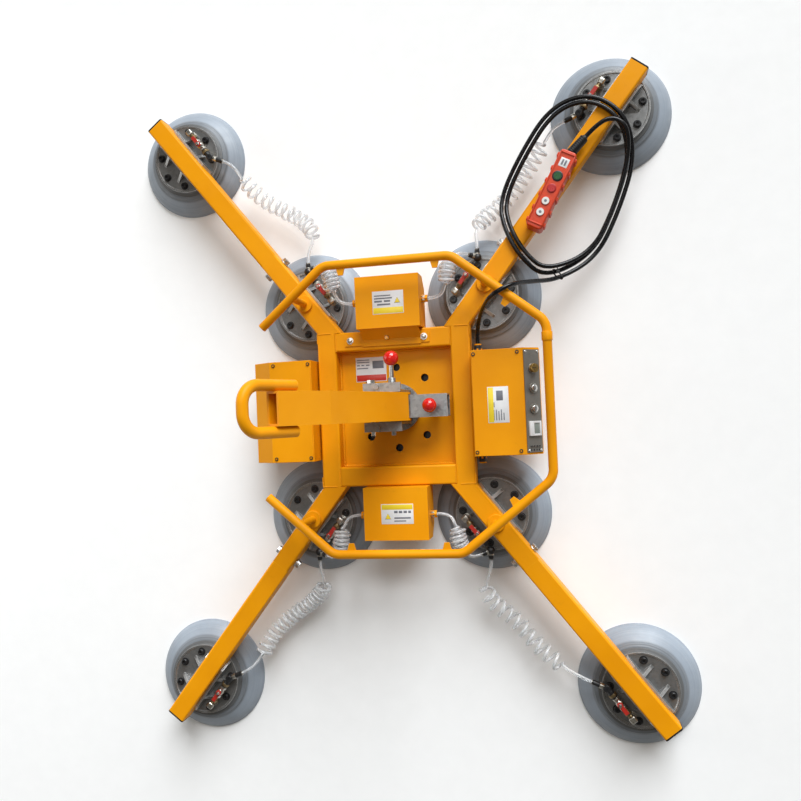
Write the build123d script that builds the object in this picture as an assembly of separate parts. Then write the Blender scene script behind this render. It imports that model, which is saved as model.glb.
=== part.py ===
from build123d import *
import math
import os

# Eight-cup vacuum lifter for glass panes, lying with its cups on a flat surface.
# Millimetres. +Z is up, away from the cups. The origin is on the swivel axis, in the plane of the cup lips.
# +Y runs along the longer span of the cups, and the lift arm leans towards -X.

# ---------------------------------------------------------------- driving dimensions
ARM_SIZE = 50.0             # square tube of the frame and of the four arms
ARM_TOP = 110.0             # top face of the frame and arms above the cup lips
ARM_ANGLE = 51.9            # direction of each arm, measured from the X axis
OUTER_CUP = (576.0, 722.0)  # centre of the outer cup in the +X +Y quarter
CUP_SPACING = 559.0         # from the outer cup to the inner cup, along the arm
CUP_RADIUS = 150.0
ARM_END = 105.0             # arm beyond the outer cup's centre
SEAM = 404.0                # joint between base arm and extension, inward from the outer cup
EXTENSION_TRAVEL = 140.0
BASE_WALL = 2.8             # wall of the fixed tubes
EXTENSION_WALL = 3.1        # wall of the sliding tubes
SPIGOT_SIZE = 43.8
SPIGOT_LENGTH = 212.0       # sliding part inside the base arm
LOCK_BOLT_INSET = 26.0      # lock bolt inward from the seam
FRAME_HALF = 200.0          # centre frame is a square
RAIL_Z = 215.0
RAIL_RADIUS = 11.0
PLATE_TOP = 72.0            # index plate inside the centre frame
INDEX_RADIUS = 105.0        # circle of the index holes
BOX_TOP = 157.0             # side boxes, under their covers
PUMP_BOX_TOP = 153.0
PUMP_BOX_HALF = 82.0
PIVOT = (-42.0, 178.0)      # tilt pivot, X and Z
LOCK_PIN = (10.0, 178.0)    # tilt lock pin, X and Z
CHANNEL_TOP = 166.0
CABLE_RADIUS = 5.5
HOSE_RADIUS = 4.0
COIL_RADIUS = 23.0          # outside of a coiled hose
PANEL_FOOT = (369.0, 125.0)     # lower edge of the control slope, X and Z
PANEL_HEAD = (330.0, 157.0)     # upper edge of the control slope
PENDANT_CENTRE = (418.0, 507.0, 133.5)
PENDANT_ANGLE = 61.4
PENDANT_LENGTH = 200.0
PENDANT_WIDTH = 42.0
PENDANT_DEPTH = 46.0

QUARTERS = ("tr", "tl", "bl", "br")
LOW_ALIGN = (Align.CENTER, Align.CENTER, Align.MIN)


# ---------------------------------------------------------------- helpers
def block(x_range, y_range, z_range):
    """A box given by its limits."""
    sizes = [high - low for low, high in (x_range, y_range, z_range)]
    middles = [(high + low) / 2 for low, high in (x_range, y_range, z_range)]
    return Pos(*middles) * Box(*sizes)


def rod(start, end, radius):
    """A straight round bar between two points."""
    axis = Vector(*end) - Vector(*start)
    return Plane(origin=start, z_dir=axis) * Cylinder(radius, axis.length, align=LOW_ALIGN)


def hexagon(start, end, across_flats):
    """A straight hexagonal bar between two points."""
    axis = Vector(*end) - Vector(*start)
    section = RegularPolygon(across_flats / 2, 6, major_radius=False)
    return Plane(origin=start, z_dir=axis) * extrude(section, axis.length)


def prism(outline, y_range):
    """A plate with an outline in X and Z, as thick as y_range."""
    face = make_face(Polyline(*[(x, 0, z) for x, z in outline], close=True))
    return Pos(0, y_range[0], 0) * extrude(face, y_range[1] - y_range[0], dir=(0, 1, 0))


def square_tube(length, size, wall, corner):
    """A square tube along +X from the origin, centred on Y and Z."""
    outer = RectangleRounded(size, size, corner)
    inner = RectangleRounded(size - 2 * wall, size - 2 * wall, max(corner - wall, 0.8))
    return Plane.YZ * extrude(outer - inner, length)


def square_bar(length, size, corner):
    return Plane.YZ * extrude(RectangleRounded(size, size, corner), length)


def pipe(points, radii, radius):
    """A round bar or tube along straight runs joined by tangent arcs."""
    path = FilletPolyline(*points, radius=radii)
    start = Plane(origin=path @ 0, z_dir=path % 0)
    return sweep(start * Circle(radius), path=path), path.length


def cord_radii(points):
    """At each corner, the largest arc that both runs leave room for."""
    corners = [Vector(*p) for p in points]
    radii = []
    for before, here, after in zip(corners, corners[1:], corners[2:]):
        arriving, leaving = here - before, after - here
        turn = math.radians(arriving.get_angle(leaving))
        shorter = min(arriving.length, leaving.length)
        radii.append(0.45 * shorter / math.tan(turn / 2))
    return radii


def cord_tube(name, points, radius):
    radii = cord_radii(points)
    solid, length = pipe(points, radii, radius)
    share = solid.volume / (math.pi * radius**2 * length)
    print(name, "length", round(length), "volume share", round(share, 4),
          "smallest radius", round(min(radii)), "radii", [round(r) for r in radii])
    return solid


def to_quarter(shape, quarter):
    """Mirrors a shape of the +X +Y quarter into another quarter."""
    if quarter in ("tl", "bl"):
        shape = mirror(shape, about=Plane.YZ)
    if quarter in ("bl", "br"):
        shape = mirror(shape, about=Plane.XZ)
    return shape


def at_outer_cup(shape):
    """From a cup's own frame, where X runs outward along the arm, to the +X +Y outer cup."""
    return Pos(*OUTER_CUP, 0) * Rot(0, 0, ARM_ANGLE) * shape


def at_inner_cup(shape):
    return at_outer_cup(Pos(-CUP_SPACING, 0, 0) * shape)


def save(name, *shapes):
    solids = [solid for shape in shapes for solid in shape.solids()]
    export_step(Compound(children=solids), f"parts/{name}.step")


# ---------------------------------------------------------------- one suction cup, in the cup's own frame
PLATE_RADIUS = 93.0
PLATE_LOW, PLATE_HIGH = 44.0, 56.0
SCREW_CIRCLE = 75.0
VALVE_Y, VALVE_Z = 57.0, 80.0       # line of the valve and filter
VALVE_X = -14.0                     # stem of the ball valve
LEVER_LOW, LEVER_HIGH = 92.0, 95.0


def cup_rubber():
    """Soft bell with a flat lip, bonded under the cast plate."""
    outside = [(CUP_RADIUS, 0), (CUP_RADIUS, 5), (146, 13), (133, 27), (118, 38), (106, PLATE_LOW)]
    inside = [(0, PLATE_LOW), (0, 35), (98, 35), (112, 28), (126, 18), (137, 8), (140, 0)]
    return revolve(make_face(Polyline(*[(r, 0, z) for r, z in outside + inside], close=True)), Axis.Z)


def cup_plate():
    """Cast aluminium plate with a raised rim and a channel that holds the arm."""
    profile = [(0, PLATE_LOW), (102, PLATE_LOW), (102, 47), (95, 49), (PLATE_RADIUS, 58), (89, 58),
               (87, PLATE_HIGH), (0, PLATE_HIGH)]
    plate = revolve(make_face(Polyline(*[(r, 0, z) for r, z in profile], close=True)), Axis.Z)
    seat = block((-84, 84), (-31, 31), (PLATE_HIGH - 1, ARM_TOP - ARM_SIZE))
    wall_outline = [(-87, 55), (87, 55), (80, 70), (62, 84), (-62, 84), (-80, 70)]
    plate += seat
    for side in (-1, 1):
        near, far = sorted((side * 25.4, side * 31))
        plate += prism(wall_outline, (near, far))
        for x in (-30, 30):
            reach = 62 if side < 0 else 46
            slope = Polyline((0, side * 30, 55), (0, side * reach, 55), (0, side * 30, 80), close=True)
            plate += Pos(x - 4, 0, 0) * extrude(make_face(slope), 8, dir=(1, 0, 0))
    return plate


def cap_screw(x, y, z):
    """Socket head screw standing on a face."""
    head = Pos(x, y, z) * Cylinder(8, 9, align=LOW_ALIGN)
    socket = Pos(x, y, z + 4) * extrude(RegularPolygon(3.5, 6, major_radius=False), 6)
    return head - socket


def cup_screws():
    screws = []
    for degrees in range(45, 360, 45):
        if degrees != 180:      # the two under the arm have no room for a head
            angle = math.radians(degrees)
            screws.append(cap_screw(SCREW_CIRCLE * math.cos(angle), SCREW_CIRCLE * math.sin(angle), PLATE_HIGH))
    return screws


def valve_parts():
    """Nipple, elbow, pipe, ball valve body with its stem, and in-line filter, as separate solids."""
    nipple = rod((34, VALVE_Y, PLATE_HIGH), (34, VALVE_Y, 71), 7)
    elbow = block((25, 43), (VALVE_Y - 9, VALVE_Y + 9), (71, 89))
    pipe_nipple = rod((25, VALVE_Y, VALVE_Z), (VALVE_X + 17, VALVE_Y, VALVE_Z), 6.5)
    pipe_nipple += hexagon((19, VALVE_Y, VALVE_Z), (12, VALVE_Y, VALVE_Z), 16)
    body = hexagon((VALVE_X + 17, VALVE_Y, VALVE_Z), (VALVE_X - 17, VALVE_Y, VALVE_Z), 17)
    body += rod((VALVE_X, VALVE_Y, VALVE_Z), (VALVE_X, VALVE_Y, LEVER_HIGH + 3), 3.5)
    filter_body = rod((VALVE_X - 17, VALVE_Y, VALVE_Z), (-52, VALVE_Y, VALVE_Z), 8)
    filter_body += hexagon((-35, VALVE_Y, VALVE_Z), (-43, VALVE_Y, VALVE_Z), 19)
    return [nipple, elbow, pipe_nipple, body, filter_body]


def outer_hardware():
    """Screws, valve and the push-in fitting that takes the coiled hose."""
    knuckle = Pos(-61, VALVE_Y, VALVE_Z) * Sphere(9) - block((-52, -40), (40, 75), (60, 100))
    fitting = rod((-66, 61, VALVE_Z), OUTER_PORT, 6.5) - (Pos(-61, VALVE_Y, VALVE_Z) * Sphere(9))
    return cup_screws() + valve_parts() + [knuckle, fitting]


OUTER_PORT = (-94.0, 77.0, 78.0)    # hose leaves the outer cup here, in the cup's own frame
TEE_X = 68.0
INNER_PORT = (85.6, 74.0, 80.0)     # outer hose arrives at the inner cup here
FEED_PORT = (60.0, 83.0, 90.0)      # hose from the pump arrives at the inner cup here


def inner_hardware():
    """Screws, valve turned the other way, and a tee with two push-in ports."""
    mirrored = [mirror(part, about=Plane.YZ) for part in valve_parts()]
    core = Pos(TEE_X, 60, VALVE_Z) * Sphere(11)
    tee = core + rod((TEE_X, 60, VALVE_Z), INNER_PORT, 6.5) + rod((TEE_X, 60, VALVE_Z), FEED_PORT, 6.5)
    tee -= block((30, 52.3), (30, 90), (60, 100))
    return cup_screws() + mirrored + [tee - mirrored[-1]]


def valve_lever():
    """Flat lever on the valve stem, lying along the valve body."""
    lever = block((VALVE_X - 7, VALVE_X + 27), (VALVE_Y - 5, VALVE_Y + 5), (LEVER_LOW, LEVER_HIGH))
    lever += Pos(VALVE_X, VALVE_Y, LEVER_LOW) * Cylinder(7, LEVER_HIGH - LEVER_LOW, align=LOW_ALIGN)
    return lever - (Pos(VALVE_X, VALVE_Y, LEVER_LOW - 1) * Cylinder(3.55, 6, align=LOW_ALIGN))


# ---------------------------------------------------------------- arms
def extension_arm():
    """Sliding tube with its slotted spigot, and its plastic end plug."""
    middle = ARM_TOP - ARM_SIZE / 2
    tube = Pos(-SEAM, 0, middle) * square_tube(SEAM + ARM_END, ARM_SIZE, EXTENSION_WALL, 5)
    spigot_start = -SEAM - SPIGOT_LENGTH
    spigot = Pos(spigot_start, 0, middle) * square_tube(SPIGOT_LENGTH + 60, SPIGOT_SIZE, 3.5, 3)
    slot_far = LOCK_BOLT_INSET + EXTENSION_TRAVEL
    slot = block((-SEAM - slot_far - 7.5, -SEAM - LOCK_BOLT_INSET + 7.5), (-40, 40), (middle - 7.5, middle + 7.5))
    plug = Pos(ARM_END, 0, middle) * square_bar(4, ARM_SIZE, 5)
    plug += Pos(ARM_END - 16, 0, middle) * square_bar(18, ARM_SIZE - 2 * EXTENSION_WALL, 1.9)
    return [tube + (spigot - slot), plug]


def lock_bolt():
    """Through bolt with washers and nut that clamps one extension."""
    x, middle = -SEAM - LOCK_BOLT_INSET, ARM_TOP - ARM_SIZE / 2
    bolt = rod((x, -29, middle), (x, 29, middle), 6)
    bolt += rod((x, -28.4, middle), (x, -25.4, middle), 12) + rod((x, 25.4, middle), (x, 28.4, middle), 12)
    bolt += hexagon((x, -28.4, middle), (x, -36, middle), 18) + hexagon((x, 28.4, middle), (x, 38, middle), 18)
    return bolt


def base_arm():
    """Fixed arm from the centre frame to the seam, in the outer cup's frame, with its lock bolt hole."""
    middle = ARM_TOP - ARM_SIZE / 2
    inner_end = -700.0
    arm = Pos(inner_end, 0, middle) * square_tube(-SEAM - inner_end, ARM_SIZE, BASE_WALL, 5)
    hole = rod((-SEAM - LOCK_BOLT_INSET, -40, middle), (-SEAM - LOCK_BOLT_INSET, 40, middle), 6.05)
    return arm - hole


def main_frame():
    """Welded centre frame of four tubes with the four base arms."""
    middle = ARM_TOP - ARM_SIZE / 2
    low = ARM_TOP - ARM_SIZE
    rails = FRAME_HALF - ARM_SIZE / 2
    upright = Pos(rails, -FRAME_HALF, middle) * Rot(0, 0, 90) * square_tube(2 * FRAME_HALF, ARM_SIZE, BASE_WALL, 5)
    frame = upright + mirror(upright, about=Plane.YZ)
    for side in (-1, 1):
        cross = square_tube(2 * FRAME_HALF - 2 * ARM_SIZE + 1, ARM_SIZE, BASE_WALL, 5)
        frame += Pos(-FRAME_HALF + ARM_SIZE - 0.5, side * rails, middle) * cross
    arm = at_outer_cup(base_arm()) - block((-300, 300), (-300, FRAME_HALF - 0.5), (low - 5, ARM_TOP + 5))
    for quarter in QUARTERS:
        frame += to_quarter(arm, quarter)
    return frame


def index_plate():
    """Plate welded inside the centre frame, with the swivel bore and the ring of index holes."""
    half = FRAME_HALF - ARM_SIZE - 0.2
    plate = block((-half, half), (-half, half), (PLATE_TOP - 8, PLATE_TOP))
    plate -= Pos(0, 0, PLATE_TOP - 20) * Cylinder(20, 40, align=LOW_ALIGN)
    for step in range(8):
        angle = math.radians(45 * step)
        centre = (INDEX_RADIUS * math.cos(angle), INDEX_RADIUS * math.sin(angle), PLATE_TOP - 20)
        plate -= Pos(*centre) * Cylinder(10, 40, align=LOW_ALIGN)
    return plate


RAIL_POINTS = [(-310, 212), (-146, 356), (174, 356), (392, 183), (392, -183), (174, -356), (-146, -356), (-310, -212)]
RAIL_POSTS = [(245, 299.5), (-230, 282.2)]      # where the rail crosses the arms
RAIL_TABS = [(-100, 356), (135, 356), (310, 248)]


def guard_rail():
    """Bent tube around the lifter on four posts, with small tabs on its inner side."""
    bends = [45.0] * (len(RAIL_POINTS) - 2)
    rail, _ = pipe([(x, y, RAIL_Z) for x, y in RAIL_POINTS], bends, RAIL_RADIUS)
    rail += rod((392, 138, RAIL_Z), (392, 158, RAIL_Z), RAIL_RADIUS + 1.8)
    for mirror_y in (1, -1):
        for x, y in RAIL_POSTS:
            post = rod((x, mirror_y * y, ARM_TOP + 5.5), (x, mirror_y * y, RAIL_Z), 9)
            foot = Pos(x, mirror_y * y, ARM_TOP + 0.3) * Cylinder(21, 6, align=LOW_ALIGN)
            rail += post + foot
        for x, y in RAIL_TABS:
            tab = extrude(make_face(Polyline((-12, -5), (12, -5), (6, -27), (-6, -27), close=True)), 6)
            tab = Pos(x, y, RAIL_Z - 3) * Rot(0, 0, 0 if y > 300 else -38.5) * tab
            rail += tab if mirror_y > 0 else mirror(tab, about=Plane.XZ)
    return rail


# ---------------------------------------------------------------- boxes on the frame
def pump_box(flanged):
    """Folded cover over one vacuum pump. One has a flange over the frame, the other is bolted from inside."""
    def solid(inset):
        near, far, low, high = FRAME_HALF + 1 + inset, 333 - inset, 66 + inset, PUMP_BOX_TOP - inset
        outline = [(near, low), (near, high), (far, high), (far, 96 + 0.4 * inset), (303 - 0.4 * inset, low)]
        face = make_face(Polyline(*[(0, y, z) for y, z in outline], close=True))
        half = PUMP_BOX_HALF - inset
        return Pos(-half, 0, 0) * extrude(face, 2 * half, dir=(1, 0, 0))

    box = solid(0) - solid(2.5)
    if not flanged:
        for x in (-50, 50):
            box += rod((x, FRAME_HALF, 85), (x, FRAME_HALF + 2, 85), 8)
            box += hexagon((x, FRAME_HALF + 3, 85), (x, FRAME_HALF + 9, 85), 13)
        return box
    flange_outline = [(FRAME_HALF + 1.5, 145), (176, 114), (160, 114), (160, 111), (178, 111), (FRAME_HALF + 1.5, 138)]
    flange = make_face(Polyline(*[(0, y, z) for y, z in flange_outline], close=True))
    flange = Pos(-76, 0, 0) * extrude(flange, 152, dir=(1, 0, 0))
    for x, low, high in ((-110, -124, -74), (84, 74, 98)):
        flange += block((low, high), (163, 190), (110.1, 113))
        flange += hexagon((x, 177, 112), (x, 177, 119), 11)
    return box + flange


def pump_box_fittings():
    """Push-in fitting on each side wall of a pump box, for the hoses."""
    x, y, z = FEED_START
    return [hexagon((side * PUMP_BOX_HALF, y, z), (side * x, y, z), 17) for side in (-1, 1)]


def side_case(head_x):
    """Sheet metal case beside the frame, its outer edge sloped, open under the cover. Built on +X."""
    def outline(inset):
        foot_x, foot_z = PANEL_FOOT
        return [(205 + inset, 66 + inset), (205 + inset, BOX_TOP - inset), (head_x - 0.4 * inset, BOX_TOP - inset),
                (foot_x - inset, foot_z - 0.5 * inset), (foot_x - inset, 66 + inset)]
    shell = prism(outline(0), (-130, 130)) - prism(outline(2.5), (-127.5, 127.5))
    return shell - block((214, head_x - 8), (-121, 121), (BOX_TOP - 10, BOX_TOP + 10))


def side_cover(head_x):
    """Flat cover screwed on a side case."""
    cover = block((207, head_x - 1), (-129, 129), (BOX_TOP + 0.1, BOX_TOP + 3))
    for x in (212, head_x - 12):
        for y in (-120, 120):
            cover += Pos(x, y, BOX_TOP + 2) * Cylinder(4, 3, align=LOW_ALIGN)
    return cover


def slope_plane():
    """Plane on the control slope: X runs down the slope, Y along the box, Z out of the panel."""
    across = Vector(PANEL_FOOT[0] - PANEL_HEAD[0], 0, PANEL_FOOT[1] - PANEL_HEAD[1])
    middle = ((PANEL_FOOT[0] + PANEL_HEAD[0]) / 2, 0, (PANEL_FOOT[1] + PANEL_HEAD[1]) / 2)
    normal = Vector(-across.Z, 0, across.X)
    return Plane(origin=middle, x_dir=across, z_dir=normal)


KNOB_Y, BUTTON_Y = 79.0, (31.0, -19.0)
DISPLAY_Y = -67.0


def control_panel():
    """Instrument plate on the slope, with collars for its controls and the display module."""
    plane = slope_plane()
    panel = plane * Pos(0, 0, 1.35) * Box(46, 250, 2.5)
    for y in (KNOB_Y,) + BUTTON_Y:
        collar = plane * Pos(0, y, 2.4) * Cylinder(11.5, 4, align=LOW_ALIGN)
        bore = plane * Pos(0, y, -1) * Cylinder(8.3, 12, align=LOW_ALIGN)
        panel = (panel + collar) - bore
    display = plane * Pos(0, DISPLAY_Y, 2.7) * Box(34, 35, 5, align=LOW_ALIGN)
    display -= plane * Pos(4, DISPLAY_Y, 6.2) * Box(17, 26, 5, align=LOW_ALIGN)
    sockets = [plane * Pos(x, -110, 2.7) * Cylinder(3, 2, align=LOW_ALIGN) for x in (-12, -4, 4, 12)]
    return [panel, display] + sockets


def case_hole(y):
    return slope_plane() * Pos(0, y, -8) * Cylinder(9, 12, align=LOW_ALIGN)


def panel_button(y):
    """Push button guided in its collar, with 3 mm of travel."""
    button = slope_plane() * Pos(0, y, -0.9) * Cylinder(8.0, 11.0, align=LOW_ALIGN)
    return button


def panel_knob():
    """Round brass knob turned by hand."""
    knob = slope_plane() * Pos(0, KNOB_Y, -0.9) * Cylinder(8.2, 8.5, align=LOW_ALIGN)
    return knob + slope_plane() * Pos(0, KNOB_Y, 7.0) * Cylinder(10.5, 9, align=LOW_ALIGN)


def batteries():
    return [block((-340, -225), (y - 35, y + 35), (68.8, 118.8)) for y in (-60, 60)]


def vacuum_pumps():
    """Two pumps, each a motor and a pump head side by side."""
    pumps = []
    for side in (-1, 1):
        motor = rod((-70, side * 262, 108), (6, side * 262, 108), 32)
        head = block((6, 66), (side * 262 - 34, side * 262 + 34), (68.5, 140))
        pumps += [motor, head]
    return pumps


# ---------------------------------------------------------------- swivel and lift arm
SPINDLE_RADIUS = 19.95      # runs in the plate's 20 mm radius bore
TABLE_TOP = PLATE_TOP + 10
CHEEK_IN, CHEEK_OUT = 30.0, 35.0        # side plates of the lift arm, in Y
BRACKET_IN, BRACKET_OUT = 37.0, 43.0    # side brackets of the swivel, in Y
BRACKET_TOP = 196.0
BOLT_RADIUS = 6.0
RUNNING_GAP = 0.05
PLUNGER_RADIUS = 8.0
PLUNGER_BALL_Z = 202.0
LOCK_BALL_Y = 121.0
FOLD_ANGLE = -65.0          # the lift arm swings down this far, where it is locked again
ARM_FRONT = [(50, 178), (-57, 486), (-125, 613)]        # X and Z, from the heel to the tip
ARM_BACK = [(-78, 230), (-101, 467), (-155, 597)]
ARM_FRONT_INSIDE = [(45.3, 176.4), (-61.6, 484), (-129.4, 610.6)]
ARM_BACK_INSIDE = [(-73, 230.5), (-96.2, 468.2), (-150.4, 598.9)]
CHEEK_FOOT = [(-72, 182), (-62, 138), (-32, 112), (8, 116), (50, 150)]
RING_BAR = 12.0
RING_HALF = 46.5


def swivel_yoke():
    """Turntable with spindle, square channel and side brackets, and the nut under the plate."""
    spindle = rod((0, 0, 46), (0, 0, TABLE_TOP), SPINDLE_RADIUS)
    yoke = spindle + Pos(0, 0, PLATE_TOP + 1) * Cylinder(62, 9, align=LOW_ALIGN)
    yoke += block((-62, 40), (-26, 26), (TABLE_TOP - 1, CHANNEL_TOP - 43))
    channel = block((-72, 144), (-28, 28), (CHANNEL_TOP - 44, CHANNEL_TOP))
    yoke += channel - block((-80, 160), (-25, 25), (CHANNEL_TOP - 41, CHANNEL_TOP - 3))
    outline = [(-60, BRACKET_TOP), (34, BRACKET_TOP), (34, 130), (40, TABLE_TOP - 1), (-40, TABLE_TOP - 1), (-60, 130)]
    for side in (-1, 1):
        yoke += prism(outline, sorted((side * BRACKET_IN, side * BRACKET_OUT)))
        yoke += block((-60, 34), sorted((side * BRACKET_OUT, side * 60)), (BRACKET_TOP - 6, BRACKET_TOP))
        yoke += Pos(-26, side * 52, BRACKET_TOP) * Cylinder(7, 6, align=LOW_ALIGN)
    yoke += rod((LOCK_PIN[0], BRACKET_OUT - 1, LOCK_PIN[1]), (LOCK_PIN[0], 72, LOCK_PIN[1]), 9.5)
    yoke += hexagon((LOCK_PIN[0], 1 - BRACKET_OUT, LOCK_PIN[1]), (LOCK_PIN[0], -54, LOCK_PIN[1]), 19)
    yoke += rod((LOCK_PIN[0], -53, LOCK_PIN[1]), (LOCK_PIN[0], -70, LOCK_PIN[1]), BOLT_RADIUS)
    for x, y in ((-26, 49), (-26, -49), (26, 49), (26, -49)):
        yoke += hexagon((x, y, TABLE_TOP - 1), (x, y, TABLE_TOP + 6), 10)
    yoke -= rod((LOCK_PIN[0], 30, LOCK_PIN[1]), (LOCK_PIN[0], 80, LOCK_PIN[1]), BOLT_RADIUS + RUNNING_GAP)
    yoke -= rod((PIVOT[0], -70, PIVOT[1]), (PIVOT[0], 70, PIVOT[1]), BOLT_RADIUS + RUNNING_GAP)
    yoke -= rod((INDEX_RADIUS, 0, 90), (INDEX_RADIUS, 0, 180), PLUNGER_RADIUS + RUNNING_GAP)
    nut = hexagon((0, 0, 48), (0, 0, 63.6), 58) - rod((0, 0, 40), (0, 0, 70), SPINDLE_RADIUS)
    return [yoke, nut]


def tilt_bolt():
    """Pivot bolt through both brackets, with its head and nut."""
    x, z = PIVOT
    bolt = rod((x, -70, z), (x, 60, z), BOLT_RADIUS)
    head = hexagon((x, 61, z), (x, 69, z), 19) + rod((x, 59, z), (x, 62, z), BOLT_RADIUS)
    nut = hexagon((x, -44, z), (x, -54, z), 19)
    spacer = rod((x, BRACKET_OUT + 0.5, z), (x, 61, z), 9)
    return bolt + head + nut + spacer


def around_pivot(point, degrees):
    """Turns a point (X, Z) about the tilt pivot, positive by the right-hand rule about +Y."""
    x, z = point[0] - PIVOT[0], point[1] - PIVOT[1]
    angle = math.radians(degrees)
    return (PIVOT[0] + x * math.cos(angle) + z * math.sin(angle),
            PIVOT[1] - x * math.sin(angle) + z * math.cos(angle))


def lift_arm():
    """Welded box arm, cranked towards its tip, with the lifting ring of round bar."""
    cheek = [ARM_FRONT[0], ARM_FRONT[1], ARM_FRONT[2], ARM_BACK[2], ARM_BACK[1], ARM_BACK[0]] + CHEEK_FOOT
    arm = prism(ARM_FRONT + ARM_FRONT_INSIDE[::-1], (-CHEEK_OUT, CHEEK_OUT))
    arm += prism(ARM_BACK + ARM_BACK_INSIDE[::-1], (-CHEEK_OUT, CHEEK_OUT))
    for side in (-1, 1):
        arm += prism(cheek, sorted((side * CHEEK_IN, side * CHEEK_OUT)))
    arm -= rod((PIVOT[0], -50, PIVOT[1]), (PIVOT[0], 50, PIVOT[1]), BOLT_RADIUS + RUNNING_GAP)
    for stop in (FOLD_ANGLE, 0):
        x, z = around_pivot(LOCK_PIN, -stop)
        arm -= rod((x, 20, z), (x, 50, z), BOLT_RADIUS + 0.4)
    tip = ((ARM_FRONT[2][0] + ARM_BACK[2][0]) / 2, (ARM_FRONT[2][1] + ARM_BACK[2][1]) / 2)
    along = Vector(ARM_FRONT[2][0] - ARM_FRONT[1][0], ARM_FRONT[2][1] - ARM_FRONT[1][1], 0).normalized()

    def ring_point(y, distance):
        return (tip[0] + distance * along.X, y, tip[1] + distance * along.Y)

    ring, _ = pipe([ring_point(-RING_HALF, -60), ring_point(-RING_HALF, 75),
                    ring_point(RING_HALF, 75), ring_point(RING_HALF, -60)], [38, 38], RING_BAR)
    return arm + ring


def index_plunger():
    """Vertical pin with a ball knob, drawn up clear of the index plate."""
    pin = rod((INDEX_RADIUS, 0, PLATE_TOP + 2), (INDEX_RADIUS, 0, PLUNGER_BALL_Z), PLUNGER_RADIUS)
    return pin + Pos(INDEX_RADIUS, 0, PLUNGER_BALL_Z) * Sphere(17.5)


def tilt_lock_pin():
    """Cross pin with a ball knob, drawn out clear of the lift arm."""
    x, z = LOCK_PIN
    return rod((x, CHEEK_OUT + 1.5, z), (x, LOCK_BALL_Y, z), BOLT_RADIUS) + Pos(x, LOCK_BALL_Y, z) * Sphere(19)


# ---------------------------------------------------------------- pendant control
PENDANT_BUTTONS = (34.0, 2.0, -31.0, -60.0)     # along the pendant from its middle
BUTTON_RADIUS = 9.0
BOOT_START = (464.4, 592.2, 133.0)
BOOT_END = (505.0, 632.0, 133.0)


def in_pendant(shape):
    """From the pendant's own frame, where X runs towards its cable, to its place on the arm."""
    return Pos(*PENDANT_CENTRE) * Rot(0, 0, PENDANT_ANGLE) * shape


def pendant_body():
    """Hand-held control with four button bores, and its tapered strain relief."""
    body = Box(PENDANT_LENGTH, PENDANT_WIDTH, PENDANT_DEPTH)
    body = fillet(body.edges().filter_by(Axis.Z), 9)
    body = fillet(body.edges().group_by(Axis.Z)[-1], 4)
    for x in PENDANT_BUTTONS:
        body -= Pos(x, 0, PENDANT_DEPTH / 2 - 12) * Cylinder(BUTTON_RADIUS + 0.4, 20, align=LOW_ALIGN)
    axis = Vector(*BOOT_END) - Vector(*BOOT_START)
    boot = Plane(origin=BOOT_START, z_dir=axis) * Cone(11, 7, axis.length, align=LOW_ALIGN)
    return in_pendant(body) + boot


def pendant_button(x):
    return in_pendant(Pos(x, 0, PENDANT_DEPTH / 2 - 8) * Cylinder(BUTTON_RADIUS, 11, align=LOW_ALIGN))


# The cable leaves the control case, climbs over the guard rail, lies in two and a half loose turns across
# the +X +Y arm and ends in the pendant's strain relief.
CABLE_ROUTE = [
    (218, 150, 95), (218, 182, 95), (228, 212, 122), (246, 236, 176), (268, 250, 236), (312, 272, 236),
    (356, 285, 176), (425, 297, 100), (522, 352, 62), (580, 462, 64), (622, 580, 90), (605, 680, 118.5),
    (525, 745, 118.5), (425, 728, 102), (345, 620, 90), (290, 510, 96), (298, 432, 118), (338, 352, 118),
    (395, 303, 98), (512, 361, 62), (568, 467, 64), (609, 581, 90), (593, 673, 118.5), (521, 731, 118.5),
    (432, 716, 102), (356, 613, 90), (303, 508, 96), (311, 436, 118), (349, 362, 118), (398, 319, 111),
    (510, 362, 76), (567, 467, 78), (606, 580, 104), (605, 645, 130), (577.5, 671.6, 133),
    (539.51, 665.83, 133), BOOT_END,
]


def cable_gland():
    """Gland on the control case where the pendant cable leaves it."""
    x, y, z = CABLE_ROUTE[0]
    return hexagon((x, 130, z), (x, 138, z), 22) + rod((x, 137, z), (x, y, z), 9)


# ---------------------------------------------------------------- coiled hoses
COIL_STATIONS = [(-160, 68), (-230, 52), (-310, 44), (-385, 56), (-432, 76)]     # X and Z along the arm
COIL_SIDEWAYS = {       # Y at each station, in the outer cup's frame
    "tr": (90, 88, 86, 104, 110),
    "tl": (84, 84, 116, 140, 132),
    "bl": (92, 80, 100, 124, 122),
    "br": (110, 128, 130, 146, 134),
}
FEED_START = (98.0, 273.0, 112.0)       # hose leaves the pump box here, in the +X +Y quarter
FEED_LEAD = (130.0, 273.0, 112.0)
FEED_COIL = [(147, 303, 121), (151, 335, 124), (160, 362, 118)]


def coiled_hose(name, lead, coil, tail):
    """A hose whose middle is wound in a coil: the coil is one fat tube of its outer size."""
    return (cord_tube(name + " lead", lead, HOSE_RADIUS) + cord_tube(name + " tail", tail, HOSE_RADIUS)
            + cord_tube(name + " coil", coil, COIL_RADIUS))


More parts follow.
